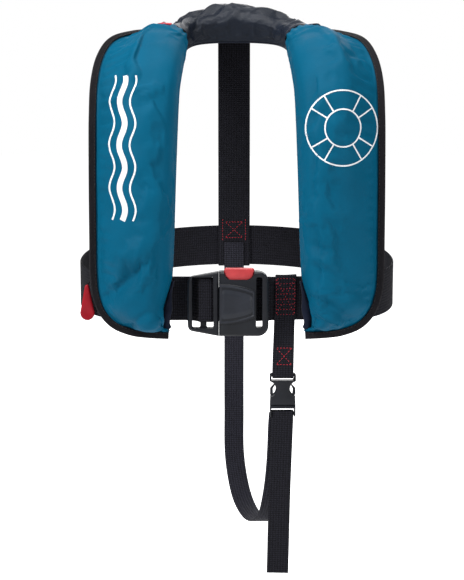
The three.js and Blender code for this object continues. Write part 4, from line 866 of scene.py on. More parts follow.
def belt_ring(count=48):
    """The belt's ring from one lobe round the back to the other: a quarter turn at each side, then
    half an ellipse, rising evenly towards the back."""
    corner = WAIST_HALF_WIDTH - BELT_STRAIGHT_X
    turn_y = BELT_Y + 1.15 * corner
    split = 0.28
    share = np.linspace(0, 1, count)
    q = np.minimum(share / split, 1) * math.pi / 2
    r = np.clip((share - split) / (1 - split), 0, 1) * math.pi / 2
    front = share < split
    x = np.where(front, BELT_STRAIGHT_X + corner * np.sin(q), WAIST_HALF_WIDTH * np.cos(r))
    y = np.where(front, turn_y - (turn_y - BELT_Y) * np.cos(q), turn_y + (WAIST_BACK_Y - turn_y) * np.sin(r))
    z = WAIST_RISE * (y - BELT_Y) / (WAIST_BACK_Y - BELT_Y)
    half = np.stack([x, y, z], axis=1)
    return np.vstack([half, (half * [-1, 1, 1])[-2::-1]])


def slant_y(x):
    """The belt's depth where it slants forward between the lobe and the buckle."""
    return BELT_Y - SLANT * (SLANT_END_X - x) / (SLANT_END_X - SLANT_X)


def waist_route():
    """From the bar in the buckle's housing, round the back and into the far lobe's sleeve."""
    x, y, half_x, half_y = 15.5, BUCKLE_BACK_Y - 3.5, 3, 2

    def flat(px, py):
        return (px, py, 0)

    return np.array([
        flat(SLANT_X, slant_y(SLANT_X) + LAYER + 0.3),
        flat(x + half_x + 7, y + half_y + WRAP + 0.5),
        *bend(flat, (x - half_x, y + half_y), WRAP, 90, 180),
        *bend(flat, (x - half_x, y - half_y), WRAP, 180, 270),
        *bend(flat, (x + half_x, y - half_y), WRAP, 270, 290, 2),
        flat(x + half_x + 12, y + 1.6),
        flat(SLANT_X, slant_y(SLANT_X)),
        flat(SLANT_END_X, BELT_Y),
        *belt_ring(),
        flat(-84, BELT_Y),
    ])


def adjuster_route():
    """From behind the lobe, up through the tongue, over its middle bar and back under itself."""
    x, y, half_x, half_y = -37.8, BUCKLE_BACK_Y - 8.2, 3.6, 2
    near, far = FIRST_LAYER_Y, FIRST_LAYER_Y + LAYER

    def flat(px, py):
        return (px, py, 0)

    return np.array([
        flat(-112, near),
        flat(-LOBE_INNER_X - 2, near),
        flat(TONGUE_LEFT_X - 0.5, near),
        flat(x - half_x - 8, near - 3),
        flat(x - half_x - WRAP - 1.4, y + half_y - 0.5),
        *bend(flat, (x - half_x, y - half_y), WRAP, 190, 270),
        *bend(flat, (x + half_x + BIGHT, y - half_y), WRAP, 270, 360),
        *bend(flat, (x + half_x + BIGHT, y + half_y), WRAP, 0, 80),
        flat(x - half_x - 4, far - 1),
        flat(TONGUE_LEFT_X - 4, far),
        flat(-104, far),
    ])


def back_route():
    """Down from the collar's lining, round the belt at the back and up behind itself."""
    top = across([MIDDLE])
    drop = -GAP - LINING - GAP - WEB / 2

    def under(u):
        point = top["inner"][0] + (top["seam"] - top["inner"])[0] * u + top["normal"][0] * drop
        return (BACK_STRAP_X, point[1], point[2])

    def at(y, z):
        return (BACK_STRAP_X, y, z)

    belt_top, belt_foot = WAIST_RISE + BELT_WIDTH / 2, WAIST_RISE - BELT_WIDTH / 2
    front, rear = WAIST_BACK_Y - LAYER - BELT_BOW, WAIST_BACK_Y + LAYER
    return np.array([
        under(0.3), under(0.6), under(0.85),
        at(COLLAR_BACK_Y - 5.5, COLLAR_BACK_Z - 16),
        at(COLLAR_BACK_Y - 6.5, COLLAR_BACK_Z - 28),
        at(COLLAR_BACK_Y - 5.5, 220),
        at(front - 0.5, 120),
        at(front, belt_top + 6),
        *bend(at, (front + WRAP, belt_foot), WRAP, 180, 270),
        *bend(at, (rear - WRAP, belt_foot), WRAP, 270, 360),
        at(rear, belt_top + 1),
        at(rear - 1.3, belt_top + 6),
        at(front + LAYER, belt_top + 12),
        at(front + LAYER, belt_top + 22),
    ])


def crotch_route():
    """Down the back from the belt, forward between the legs and up to the clip."""
    start = WAIST_BACK_Y - 2 * LAYER - BELT_BOW
    return np.array([
        (BACK_STRAP_X, start, WAIST_RISE + 4),
        (BACK_STRAP_X, start, 0),
        (BACK_STRAP_X, start - 4, -70),
        (BACK_STRAP_X, start - 9, -170),
        (-2, start - 20, -235),
        (7, 50, -276),
        (22, -2, CROTCH_LOW_Z),
        (36, -55, -272),
        (43, -88, -232),
        (CLIP_X - 5.6, -104, -188),
        (CLIP_X - 4, PLUG_BAR_Y + 4.4, PLUG_BAR_Z - 14),
        (CLIP_X - 3, PLUG_BAR_Y + CLIP_BAR_HALF + 2 * LAYER, PLUG_BAR_Z - 1),
    ])


def tail_route():
    """The strap's free end: behind the plug's bar, over it and down the front."""
    x, half = CLIP_X - 0.3, CLIP_BAR_HALF

    def at(y, z):
        return (x, y, z)

    return np.array([
        at(PLUG_BAR_Y + half + WRAP, PLUG_BAR_Z - 9),
        *bend(at, (PLUG_BAR_Y + half, PLUG_BAR_Z + half), WRAP, 0, 90),
        *bend(at, (PLUG_BAR_Y - half, PLUG_BAR_Z + half), WRAP, 90, 180),
        at(PLUG_BAR_Y - half - WRAP, PLUG_BAR_Z - 4),
        (x - 0.6, PLUG_BAR_Y - half - WRAP - 0.6, PLUG_BAR_Z - 22),
        (x - 3, PLUG_BAR_Y - half - WRAP - 2, (PLUG_BAR_Z + TAIL_END_Z) / 2),
        (x - 5, PLUG_BAR_Y - half - WRAP - 3, TAIL_END_Z),
    ])


def tab_lean(z):
    """Where the tab's middle is at a height: it leans a little on its way up to the belt."""
    half = BELT_WIDTH / 2
    return CLIP_X + (max(z - CLIP_TOP_Z - 10, 0) / (half - CLIP_TOP_Z)) * 3.4


def tab_route():
    """A loop round the front belt that hangs down to the clip's socket and turns round its bar."""
    half, bar = BELT_WIDTH / 2, CLIP_BAR_HALF
    bar_z = CLIP_TOP_Z - bar
    belt = slant_y(tab_lean(0))
    over = WEB / 2 + 0.6

    def at(y, z):
        return (tab_lean(z), y, z)

    return np.array([
        at(belt + over + WRAP, -half + 6),
        *bend(at, (belt + over, half), WRAP, 0, 90),
        *bend(at, (belt - over, half), WRAP, 90, 180),
        at(belt - over - WRAP, -half),
        at(CLIP_Y - bar - WRAP - 0.3, bar_z + 26),
        *bend(at, (CLIP_Y - bar, bar_z - bar), WRAP, 180, 270),
        *bend(at, (CLIP_Y + bar, bar_z - bar), WRAP, 270, 360),
        at(CLIP_Y + bar + WRAP, CLIP_TOP_Z + 0.6),
        at(CLIP_Y - bar + 1.3, bar_z + 12),
        at(CLIP_Y - bar + 1.1, bar_z + 34),
    ])


def tab_width_at(route):
    """The tab's width turns from straight across to along the slanted belt."""
    run = unit(np.array([SLANT_END_X - SLANT_X, SLANT, 0.0]))
    turn = smooth((route[:, 2] + 70) / 40)[:, None]
    return SIDEWAYS * (1 - turn) + run * turn


def loop_route(x):
    """A belt loop: a flange on the lining, round the belt, and a flange again."""
    front, back = LINING_BACK_Y + GAP + 0.6, BELT_Y + WEB / 2 + GAP + 0.6
    half = BELT_WIDTH / 2 + 1.6
    return np.array([
        (x, front, half + 3), (x, front, half + 1.4), (x, front + 1.4, half), (x, back - 1.4, half),
        (x, back, half - 1.6), (x, back, 0), (x, back, -half + 1.6), (x, back - 1.4, -half),
        (x, front + 1.4, -half), (x, front, -half - 1.4), (x, front, -half - 3),
    ])


# ---- stitches ----


def stitches_object(name, lines, outward, length=2.4, gap=1.1, radius=0.34, proud=0.12):
    """Stitches: along each line, small six-sided beads whose middle stands proud of the cloth
    and whose ends dip into it."""
    sides = 6
    t = np.linspace(-1, 1, 5)
    bead = []
    for line in lines:
        line = np.asarray(line, float)
        edges = np.linalg.norm(np.diff(line, axis=0), axis=1)
        total = np.concatenate([[0], np.cumsum(edges)])
        count = max(int(total[-1] / (length + gap)), 1)
        middle = (np.arange(count) + 0.5) * total[-1] / count
        place = np.stack([np.interp(middle, total, line[:, k]) for k in range(3)], axis=1)
        ahead = np.stack([np.interp(middle + 0.3, total, line[:, k]) for k in range(3)], axis=1)
        behind = np.stack([np.interp(middle - 0.3, total, line[:, k]) for k in range(3)], axis=1)
        along = unit(ahead - behind)
        normal = np.broadcast_to(outward, along.shape) if np.ndim(outward) == 1 else outward(place)
        bead.append((place, along, unit(normal - along * (normal * along).sum(1)[:, None])))
    place, along, normal = (np.concatenate(part) for part in zip(*bead))
    side = np.cross(along, normal)
    ring = np.linspace(0, 2 * math.pi, sides + 1)[:-1]
    size = radius * np.sqrt(np.maximum(1 - (t * 0.92) ** 2, 0.05))
    high = proud + radius * 0.5 - radius * 1.1 * t**2
    points = (
        place[:, None, None]
        + along[:, None, None] * (t * length / 2)[None, :, None, None]
        + normal[:, None, None] * (high[:, None] + size[:, None] * np.sin(ring)[None])[None, ..., None]
        + side[:, None, None] * (size[:, None] * np.cos(ring)[None])[None, ..., None]
    )
    quads = np.array(grid_faces(len(t), sides, wrap=True))
    cap = np.arange(sides)
    caps = np.stack([cap[::-1], cap + (len(t) - 1) * sides])
    shift = np.arange(len(place))[:, None, None] * len(t) * sides
    faces = (quads[None] + shift).reshape(-1, 4).tolist()
    faces += (caps[None] + shift).reshape(-1, sides).tolist()
    obj = new_object(name, points.reshape(-1, 3), faces)
    outwards(obj)
    return obj


def hourglass(x0, x1, y, z0, z1):
    """The lines of a box with its top and bottom sides and its two diagonals."""
    return [
        [(x0, y, z0), (x1, y, z0)], [(x0, y, z1), (x1, y, z1)],
        [(x0, y, z0), (x1, y, z1)], [(x0, y, z1), (x1, y, z0)],
    ]


# ---- moulded pieces ----


def moulded_copy(name, node, width, segments=3, angle=35):
    """A copy of a frame node with shared points merged, flat faces rejoined and edges rounded."""
    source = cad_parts[node]
    obj = bpy.data.objects.new(name, source.data.copy())
    bpy.context.scene.collection.objects.link(obj)
    shape = bmesh.new()
    shape.from_mesh(obj.data)
    bmesh.ops.remove_doubles(shape, verts=shape.verts, dist=2e-6)
    bmesh.ops.dissolve_limit(shape, angle_limit=math.radians(1.5), verts=shape.verts, edges=shape.edges)
    bmesh.ops.recalc_face_normals(shape, faces=shape.faces)
    shape.to_mesh(obj.data)
    shape.free()
    obj.data.shade_smooth()
    edge = obj.modifiers.new("edges", "BEVEL")
    edge.width = width / 1000
    edge.segments = segments
    edge.limit_method = "ANGLE"
    edge.angle_limit = math.radians(angle)
    edge.harden_normals = True
    edge.use_clamp_overlap = True
    apply_modifiers(obj)
    return obj


def teardrop_points(top, length, wide, narrow, depth, rows=60, columns=26):
    """The handle: at each height a superellipse section, whose half width follows two arcs joined
    by their common tangent, hollowed a little on both faces for the fingers."""
    x, y, z = top
    q = np.linspace(0, 1, rows)
    height = (1 - np.cos(q * math.pi)) / 2
    drop = height * length
    low = length - wide
    lean = math.asin((wide - narrow) / (low - narrow))
    upper = np.sqrt(np.maximum(narrow**2 - (drop - narrow) ** 2, 0))
    lower = np.sqrt(np.maximum(wide**2 - (drop - low) ** 2, 0))
    side = narrow * math.cos(lean) + (drop - narrow + narrow * math.sin(lean)) * math.tan(lean)
    start, stop = narrow * (1 - math.sin(lean)), low - wide * math.sin(lean)
    half = np.where(drop < start, upper, np.where(drop > stop, lower, side))
    ring = np.linspace(0, 2 * math.pi, columns + 1)[:-1]
    c, s = np.cos(ring), np.sin(ring)
    a = np.sign(c) * np.abs(c) ** 0.8
    b = np.sign(s) * np.abs(s) ** 0.6
    thick = depth / 2 * np.minimum(1, np.sqrt(np.maximum(half, 0.02) / narrow))
    dish = 1 - 0.28 * np.exp(-(((drop - low) / (wide * 0.8)) ** 2))[:, None] * (1 - a[None] ** 2)
    px = x + half[:, None] * a[None]
    py = y + (thick[:, None] * b[None]) * dish
    pz = np.broadcast_to((z - drop)[:, None], px.shape)
    return np.stack([px, py, pz], axis=2)


# ---- the user's settings ----


class JacketLook(bpy.types.PropertyGroup):
    """Colours and sizes of the jacket that a user would change."""

    nylon: bpy.props.FloatVectorProperty(
        name="Lobe nylon", description="Colour of the two lobes", subtype="COLOR", size=3,
        min=0, max=1, default=(0.0, 0.095, 0.178))
    collar: bpy.props.FloatVectorProperty(
        name="Collar nylon", description="Colour of the collar roll", subtype="COLOR", size=3,
        min=0, max=1, default=(0.0075, 0.0115, 0.021))
    webbing: bpy.props.FloatVectorProperty(
        name="Webbing", description="Colour of belts and straps", subtype="COLOR", size=3,
        min=0, max=1, default=(0.006, 0.006, 0.0085))
    tape: bpy.props.FloatVectorProperty(
        name="Edge tape", description="Colour of the tape round the edge", subtype="COLOR", size=3,
        min=0, max=1, default=(0.01, 0.009, 0.011))
    plastic: bpy.props.FloatVectorProperty(
        name="Buckle plastic", description="Colour of buckle and clip", subtype="COLOR", size=3,
        min=0, max=1, default=(0.0085, 0.0098, 0.0135))
    button: bpy.props.FloatVectorProperty(
        name="Release button", description="Colour of the release button", subtype="COLOR", size=3,
        min=0, max=1, default=(0.5, 0.05, 0.055))
    handle: bpy.props.FloatVectorProperty(
        name="Pull handle", description="Colour of the inflator's handle", subtype="COLOR", size=3,
        min=0, max=1, default=(0.33, 0.008, 0.017))
    thread: bpy.props.FloatVectorProperty(
        name="Thread", description="Colour of the load-bearing seams", subtype="COLOR", size=3,
        min=0, max=1, default=(0.5, 0.01, 0.03))
    weave: bpy.props.FloatProperty(
        name="Weave pitch", description="Distance between threads of the nylon", unit="LENGTH",
        subtype="DISTANCE", min=0.0002, max=0.004, default=0.0007)
    fold_depth: bpy.props.FloatProperty(
        name="Fold depth", description="How deep the lobes' folds are, 1 as drawn", min=0, max=2,
        default=1.0)
    pressure: bpy.props.FloatProperty(
        name="Pressure", description="Pressure under the covers in the cloth simulation", min=0,
        max=20, default=3.0)
    spare_cloth: bpy.props.FloatProperty(
        name="Spare cloth", description="Share by which the covers are cut too large", min=0,
        max=0.2, subtype="FACTOR", default=0.05)


# ---- operators ----


class Maker:
    """What every operator of the jacket shares."""

    bl_options = {"REGISTER", "UNDO"}

    @property
    def look(self):
        """The user's settings."""
        return bpy.context.scene.jacket_look


class JACKET_OT_materials(Maker, bpy.types.Operator):
    """Make every finish of the jacket"""

    bl_idname = "jacket.materials"
    bl_label = "Finishes"

    def execute(self, context):
        make_materials(self.look)
        return {"FINISHED"}


class JACKET_OT_lobes(Maker, bpy.types.Operator):
    """Sew the two puffed front lobes"""

    bl_idname = "jacket.lobes"
    bl_label = "Lobes"

    def execute(self, context):
        def shape(steps):
            return cover_points(steps, self.look)

        for name, first, last, node in (
            ("lobe_left", 0, SHOULDER - 0.02, "cover_left"),
            ("lobe_right", END - SHOULDER + 0.02, END, "cover_right"),
        ):
            make_cover(name, first, last, "lobe_nylon", "nylon", node, self.look, shape)
        return {"FINISHED"}


class JACKET_OT_collar(Maker, bpy.types.Operator):
    """Sew the crinkled collar roll"""

    bl_idname = "jacket.collar"
    bl_label = "Collar"

    def execute(self, context):
        make_cover("collar_roll", SHOULDER + 0.02, END - SHOULDER - 0.02, "collar_nylon", "collar_nylon",
                   "collar_cover", self.look, collar_points)
        return {"FINISHED"}


class JACKET_OT_lining(Maker, bpy.types.Operator):
    """Lay the mesh lining behind lobes and collar"""

    bl_idname = "jacket.lining"
    bl_label = "Lining"

    def execute(self, context):
        steps = fabric_steps(0, END, 12)
        points, line = lining_points(steps, -GAP)
        outward = np.broadcast_to(line["normal"][:, None], points.shape)
        obj = sheet_object("back_lining", points, outward, hole=(CORD_SLOT, CORD_SLOT_RADIUS))
        thicken(obj, LINING)
        finish(obj, "lining_mesh", "jacket", "lining_fabric", "lining")
        return {"FINISHED"}


class JACKET_OT_binding(Maker, bpy.types.Operator):
    """Fold the tape over the outer edge and stitch it down"""

    bl_idname = "jacket.binding"
    bl_label = "Edge tape"

    def execute(self, context):
        steps = fabric_steps(0, END, 14)
        points, outward, line = binding_points(steps)
        obj = sheet_object("edge_tape", points, outward)
        thicken(obj, 1.0, offset=0)
        finish(obj, "edge_tape", "jacket", "binding_tape", "edge_binding")
        seam = line["edge"] - line["out"] * 5.0 + line["normal"] * (COVER + GAP + 1.0)
        rows = [seam[2:-2]]
        normals = unit(line["normal"][2:-2])

        def outward_at(place):
            nearest = ((place[:, None] - rows[0][None]) ** 2).sum(2).argmin(1)
            return normals[nearest]

        thread = stitches_object("edge_tape_stitches", rows, outward_at, length=2.6, gap=1.4, radius=0.26)
        finish(thread, "dark_thread", "jacket", "binding_tape")
        return {"FINISHED"}


class JACKET_OT_closures(Maker, bpy.types.Operator):
    """Show the closure's strips at the foot of each lobe"""

    bl_idname = "jacket.closures"
    bl_label = "Closure strips"

    def execute(self, context):
        for side, mirrored in (("left", False), ("right", True)):
            points, outward = flap_points(np.linspace(0.5, 5.6, 90), mirrored)
            obj = sheet_object(f"closure_strip_{side}", points, outward)
            thicken(obj, 0.9)
            finish(obj, "closure_tape", "jacket", "lining_fabric", f"closure_flap_{side}")
        return {"FINISHED"}


class JACKET_OT_prints(Maker, bpy.types.Operator):
    """Print plain white shapes on the lobes: a lifebuoy, and three upright wavy lines"""

    bl_idname = "jacket.prints"
    bl_label = "White prints"

    def execute(self, context):
        self.ring(116, 193, 41, 33)
        self.waves(-126, 92, 250)
        return {"FINISHED"}

    def project(self, name, points, faces, lobe):
        """Lays flat shapes on a lobe, straight back from in front of it."""
        obj = new_object(name, points, faces)
        wrap = obj.modifiers.new("lie", "SHRINKWRAP")
        wrap.target = bpy.data.objects[lobe]
        wrap.wrap_method = "PROJECT"
        wrap.use_project_x = False
        wrap.use_project_y = True
        wrap.use_positive_direction = True
        wrap.use_negative_direction = True
        wrap.offset = PRINT_LIFT / 1000
        apply_modifiers(obj)
        finish(obj, "white_print", "jacket", "nylon")

    def band(self, centre_line, half_width):
        """A ribbon in the plane of the chest on both sides of a centre line."""
        run = unit(np.gradient(centre_line, axis=0))
        side = np.stack([-run[:, 1], run[:, 0]], axis=1)
        share = np.linspace(-1, 1, max(4, int(half_width * 4)))
        flat = centre_line[:, None] + side[:, None] * (share * half_width)[None, :, None]
        depth = np.full(flat.shape[:2], -190.0)
        return np.stack([flat[..., 0], depth, flat[..., 1]], axis=2)

    def combine(self, name, ribbons, lobe):
        """Several ribbons as one print."""
        points, faces, base = [], [], 0
        for ribbon in ribbons:
            rows, columns = ribbon.shape[:2]
            quads = np.array(grid_faces(rows, columns))
            normal = np.nanmean(grid_normals(ribbon)[..., 1])
            if normal > 0:
                quads = quads[:, ::-1]
            faces += (quads + base).tolist()
            points.append(ribbon.reshape(-1, 3))
            base += rows * columns
        self.project(name, np.concatenate(points), faces, lobe)

    def ring(self, x, z, outer, inner):
        """A lifebuoy in outline: two circles joined by four pairs of short lines."""
        q = np.linspace(0, 2 * math.pi, 121)
        circle = np.stack([np.cos(q), np.sin(q)], axis=1)
        centre = np.array([x, z])
        ribbons = [self.band(centre + circle * r, 0.8) for r in (outer, inner * 0.62)]
        for k in range(4):
            for part in (-0.24, 0.24):
                q = math.pi / 4 + k * math.pi / 2 + part
                way = np.array([math.cos(q), math.sin(q)])
                t = np.linspace(inner * 0.62, outer, 14)[:, None]
                ribbons.append(self.band(centre + way * t, 0.8))
        self.combine("print_ring", ribbons, "lobe_left")

    def waves(self, x, low, high):
        """Three upright wavy lines side by side, the middle one the widest."""
        z = np.linspace(low, high, 150)
        ribbons = []
        for shift, half in ((-12, 1.0), (0, 3.2), (12, 1.0)):
            line = np.stack([x + shift + 3.2 * np.sin((z - low) / 7.5), z], axis=1)
            ribbons.append(self.band(line, half))
        self.combine("print_waves", ribbons, "lobe_right")


class JACKET_OT_belts(Maker, bpy.types.Operator):
    """Thread the waist belt, its adjuster and the belt loops"""

    bl_idname = "jacket.belts"
    bl_label = "Belts"

    def execute(self, context):
        waist = strap_object("waist_webbing", waist_route(), BELT_WIDTH, UP)
        finish(waist, "webbing", "jacket", "webbing", "waist_belt")
        adjuster = strap_object("adjuster_webbing", adjuster_route(), BELT_WIDTH, UP, spacing=1.2)
        finish(adjuster, "webbing", "tongue", "webbing", "adjuster_belt")
        for number, x in enumerate((-116, -92, 92, 116), 1):
            loop = strap_object(f"loop_webbing_{number}", loop_route(x), 18, SIDEWAYS, 1.1, 1.2)
            finish(loop, "edge_tape", "jacket", "binding_tape", f"belt_loop_{number}")
        return {"FINISHED"}


class JACKET_OT_straps(Maker, bpy.types.Operator):
    """Hang the back strap, the crotch strap, its tail and the clip's tab"""

    bl_idname = "jacket.straps"
    bl_label = "Straps"

    def execute(self, context):
        back = strap_object("back_webbing", back_route(), BACK_STRAP_WIDTH, SIDEWAYS)
        finish(back, "webbing", "jacket", "webbing", "back_strap")
        tab = strap_object("tab_webbing", tab_route(), TAB_WIDTH, tab_width_at, spacing=1.5)
        finish(tab, "webbing", "jacket", "webbing", "clip_tab_strap")
        tail = strap_object("tail_webbing", tail_route(), CROTCH_WIDTH, SIDEWAYS, spacing=1.5)
        finish(tail, "webbing", "plug", "webbing", "crotch_strap_tail")
        crotch = strap_object("crotch_webbing", crotch_route(), CROTCH_WIDTH, SIDEWAYS)
        crotch.data.materials.append(MATERIALS["crotch_webbing"])
        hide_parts("crotch_strap")
        to_row((20, -10, -289)).tolist()
        to_row((CLIP_X - 4, -106, -150)).tolist()
        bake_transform(crotch)
        return {"FINISHED"}


class JACKET_OT_stitches(Maker, bpy.types.Operator):
    """Sew the red load-bearing seams"""

    bl_idname = "jacket.stitches"
    bl_label = "Red seams"

    def execute(self, context):
        face = WAIST_BACK_Y - LAYER - BELT_BOW - WEB / 2
        x = BACK_STRAP_X
        lines = hourglass(x - 11, x + 11, face, 47, 67)
        lines += [[(x + k, face, 43), (x + k, face, 71)] for k in (-14.5, 14.5)]
        back = stitches_object("back_seam", lines, FORWARD)
        finish(back, "red_thread", "jacket", "webbing")
        rear = WAIST_BACK_Y + LAYER + WEB / 2
        lines = hourglass(x - 14, x + 14, rear, 16, 58)
        outer = stitches_object("back_seam_behind", lines, -FORWARD)
        finish(outer, "red_thread", "jacket", "webbing")

        def tab_y(px):
            return slant_y(px) - WEB / 2 - 0.6 - WRAP - WEB / 2

        rows = []
        for z in np.linspace(-18, 23, 8):
            rows.append([(44.5, tab_y(44.5), z), (65.5, tab_y(65.5), z)])
        for px in (44.5, 65.5):
            rows.append([(px, tab_y(px), -18), (px, tab_y(px), 23)])
        rows.append([(44.5, tab_y(44.5), -18), (65.5, tab_y(65.5), 23)])
        rows.append([(44.5, tab_y(44.5), 23), (65.5, tab_y(65.5), -18)])
        tab = stitches_object("tab_seam", rows, FORWARD, length=1.5, gap=2.0, radius=0.3)
        finish(tab, "red_thread", "jacket", "webbing")
        route, _ = evenly(tab_route(), 1.0)
        ahead = route[(route[:, 1] < CLIP_Y - 2) & (route[:, 2] < -30) & (route[:, 2] > -84)]
        order = np.argsort(ahead[:, 2])

        def on_tab(px, z):
            return (px, float(np.interp(z, ahead[order, 2], ahead[order, 1])) - WEB / 2, z)

        def straight(a, b):
            return [on_tab(a[0] + (b[0] - a[0]) * t, a[1] + (b[1] - a[1]) * t) for t in np.linspace(0, 1, 9)]

        corners = [(44.6, -75), (62.4, -75), (62.4, -56), (44.6, -56)]
        lines = [straight(corners[0], corners[1]), straight(corners[3], corners[2]),
                 straight(corners[0], corners[2]), straight(corners[3], corners[1])]
        lower = stitches_object("tab_cross_seam", lines, FORWARD)
        finish(lower, "red_thread", "jacket", "webbing")
        return {"FINISHED"}


class JACKET_OT_buckle(Maker, bpy.types.Operator):
    """Mould the front buckle and its red button"""

    bl_idname = "jacket.buckle"
    bl_label = "Buckle"

    def execute(self, context):
        for name, node, body, material, slot, width in (
            ("housing_shell", "buckle_housing", "jacket", "buckle_plastic", "buckle_plastic", 0.5),
            ("tongue_frame", "buckle_tongue", "tongue", "buckle_plastic", "buckle_plastic", 0.5),
            ("button_cap", "release_button", "button", "signal_red", "signal_red", 0.45),
        ):
            obj = moulded_copy(name, node, width)
            finish(obj, material, body, slot, node)
        points = lens_points()
        lens = sheet_object("housing_lens", points, np.broadcast_to(FORWARD, points.shape))
        finish(lens, "lens_plastic", "jacket", "buckle_plastic")
        spring = tube_object("spring_wire", spring_rings())
        finish(spring, "steel", "jacket", "steel", "button_spring")
        foot = to_row((SPRING_X, SPRING_Y, SPRING_FOOT_Z)).tolist()
        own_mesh(spring)
        repaint("buckle_back_plate", "buckle_plastic")
        repaint("latch_plate", "steel")
        return {"FINISHED"}


class JACKET_OT_clip(Maker, bpy.types.Operator):
    """Mould the side-release clip"""

    bl_idname = "jacket.clip"
    bl_label = "Clip"

    def execute(self, context):
        for name, node, body in (
            ("clip_shell", "clip_socket", "jacket"),
            ("clip_fork", "clip_plug", "plug"),
            ("clip_arm_left", "clip_prong_left", "prong_left"),
            ("clip_arm_right", "clip_prong_right", "prong_right"),
        ):
            obj = moulded_copy(name, node, 0.35)
            finish(obj, "buckle_plastic", body, "buckle_plastic", node)
        return {"FINISHED"}


def lens_points():
    """The housing's lens: its half height falls with the square of the way across, and its surface
    is a low dome in the middle, a groove round it, and a rounded lip at its edge."""
    x = np.linspace(LENS_LEFT, LENS_RIGHT, 40)
    share = (x - x[0]) / (x[-1] - x[0])
    top = LENS_MIDDLE_Z + LENS_HALF - LENS_TAPER * share**2
    foot = LENS_MIDDLE_Z - LENS_HALF + LENS_TAPER * share**2
    v = np.linspace(0, 1, 48)
    z = foot[:, None] + (top - foot)[:, None] * v[None]
    edge = np.minimum(z - foot[:, None], top[:, None] - z)
    side = np.minimum(x - x[0], x[-1] - x)[:, None]
    near = np.minimum(edge, side + 1.2)
    dome = 2.1 * smooth((edge - 3.2) / 8) * smooth(side / 5)
    lip = 1.2 * np.sqrt(np.clip(near / 1.2, 0, 1)) - 1.2 * smooth((near - 1.6) / 1.4)
    y = BUCKLE_FRONT_Y + 0.35 - lip - dome
    return np.stack([np.broadcast_to(x[:, None], z.shape), y, z], axis=2)


def spring_rings(steps=200, sides=8):
    """The button's spring: a helix flattened front to back, as rings of wire square to it."""
    t = np.linspace(0, 1, steps)
    q = t * SPRING_TURNS * 2 * math.pi
    z = SPRING_FOOT_Z + 0.6 + t * (SPRING_LENGTH - 1.2)
    centre = np.stack([SPRING_X + 3 * np.cos(q), SPRING_Y + 1.1 * np.sin(q), z], axis=1)
    along = unit(np.gradient(centre, axis=0))
    side = unit(np.cross(along, UP))
    above = np.cross(side, along)
    ring = np.linspace(0, 2 * math.pi, sides + 1)[:-1]
    return centre[:, None] + 0.4 * (side[:, None] * np.cos(ring)[None, :, None]
                                    + above[:, None] * np.sin(ring)[None, :, None])


def repaint(node, material):
    """Gives a frame node that keeps its shape a better material."""
    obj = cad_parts[node]
    obj.data.materials.clear()
    obj.data.materials.append(MATERIALS[material])


class JACKET_OT_handle(Maker, bpy.types.Operator):
    """Hang the pull handle on its cord"""

    bl_idname = "jacket.handle"
    bl_label = "Pull handle"

    def execute(self, context):
        top = np.array([-171.0, -95.0, 14.0])
        points = teardrop_points(top, 41, 8.2, 2.6, 6)
        handle = tube_object("handle_grip", points)
        finish(handle, "handle_red", "handle", "handle_red", "pull_handle")
        tip = np.array([-130.08, -125.7, 58.18])
        way = unit(top - tip)
        route = np.linspace(tip + way * 3.4, top - way * 1.9, 24)
        side = unit(np.cross(way, UP))
        above = np.cross(side, way)
        q = np.linspace(0, 2 * math.pi, 13)[:-1]
        twist = np.linspace(0, 10, 24)[:, None]
        radius = CORD_DIAMETER / 2 - 0.05 + 0.05 * np.cos(3 * (q[None] + twist))
        rings = (route[:, None] + side * (radius * np.cos(q))[..., None]
                 + above * (radius * np.sin(q))[..., None])
        uv = np.stack(np.broadcast_arrays(q[None] * 1.4, np.linspace(0, 60, 24)[:, None]), axis=2)
        obj = tube_object("handle_cord", rings, uv.reshape(-1, 2))
        finish(obj, "edge_tape", "handle", "binding_tape", "pull_cord")
        path = to_row(route).tolist()
        return {"FINISHED"}


class JACKET_OT_inside(Maker, bpy.types.Operator):
    """Finish what lies under the covers: bladder, inflator, oral tube and whistle"""

    bl_idname = "jacket.inside"
    bl_label = "Inside"

    def execute(self, context):
        for material, nodes in (
            ("bladder_film", ("bladder",)),
            ("inner_plastic", ("inflator_body", "firing_lever", "oral_tube", "oral_valve_body", "oral_cap")),
            ("signal_red", ("oral_valve_stem",)),
            ("steel", ("manifold_nut", "lever_pin", "firing_pin", "co2_cylinder")),
            ("brass", ("inflator_manifold", "cylinder_seal")),
            ("whistle_plastic", ("whistle",)),
            ("edge_tape", ("whistle_cord",)),
        ):
            for node in nodes:
                repaint(node, material)
        return {"FINISHED"}


class JACKET_OT_tag(Maker, bpy.types.Operator):
    """Sew the small red tag into the shoulder's seam"""

    bl_idname = "jacket.tag"
    bl_label = "Shoulder tag"

    def execute(self, context):
        line = cover_line([END - SHOULDER + 0.16])
        u = np.linspace(0.42, 0.64, 14)
        rise = np.interp(u, PUFF_PROFILE[:, 0], PUFF_PROFILE[:, 1]) * line["puff"][0] + COVER * u + GAP + 1.4
        spine = line["inner"][0] + (line["seam"] - line["inner"])[0] * u[:, None]
        spine = spine + line["normal"][0] * rise[:, None]
        obj = strap_object("red_tag", spine, 7, np.cross(line["out"][0], line["normal"][0]), 0.9, 1.0)
        finish(obj, "red_tag", "jacket", "tag_fabric", "shoulder_tag")
        return {"FINISHED"}


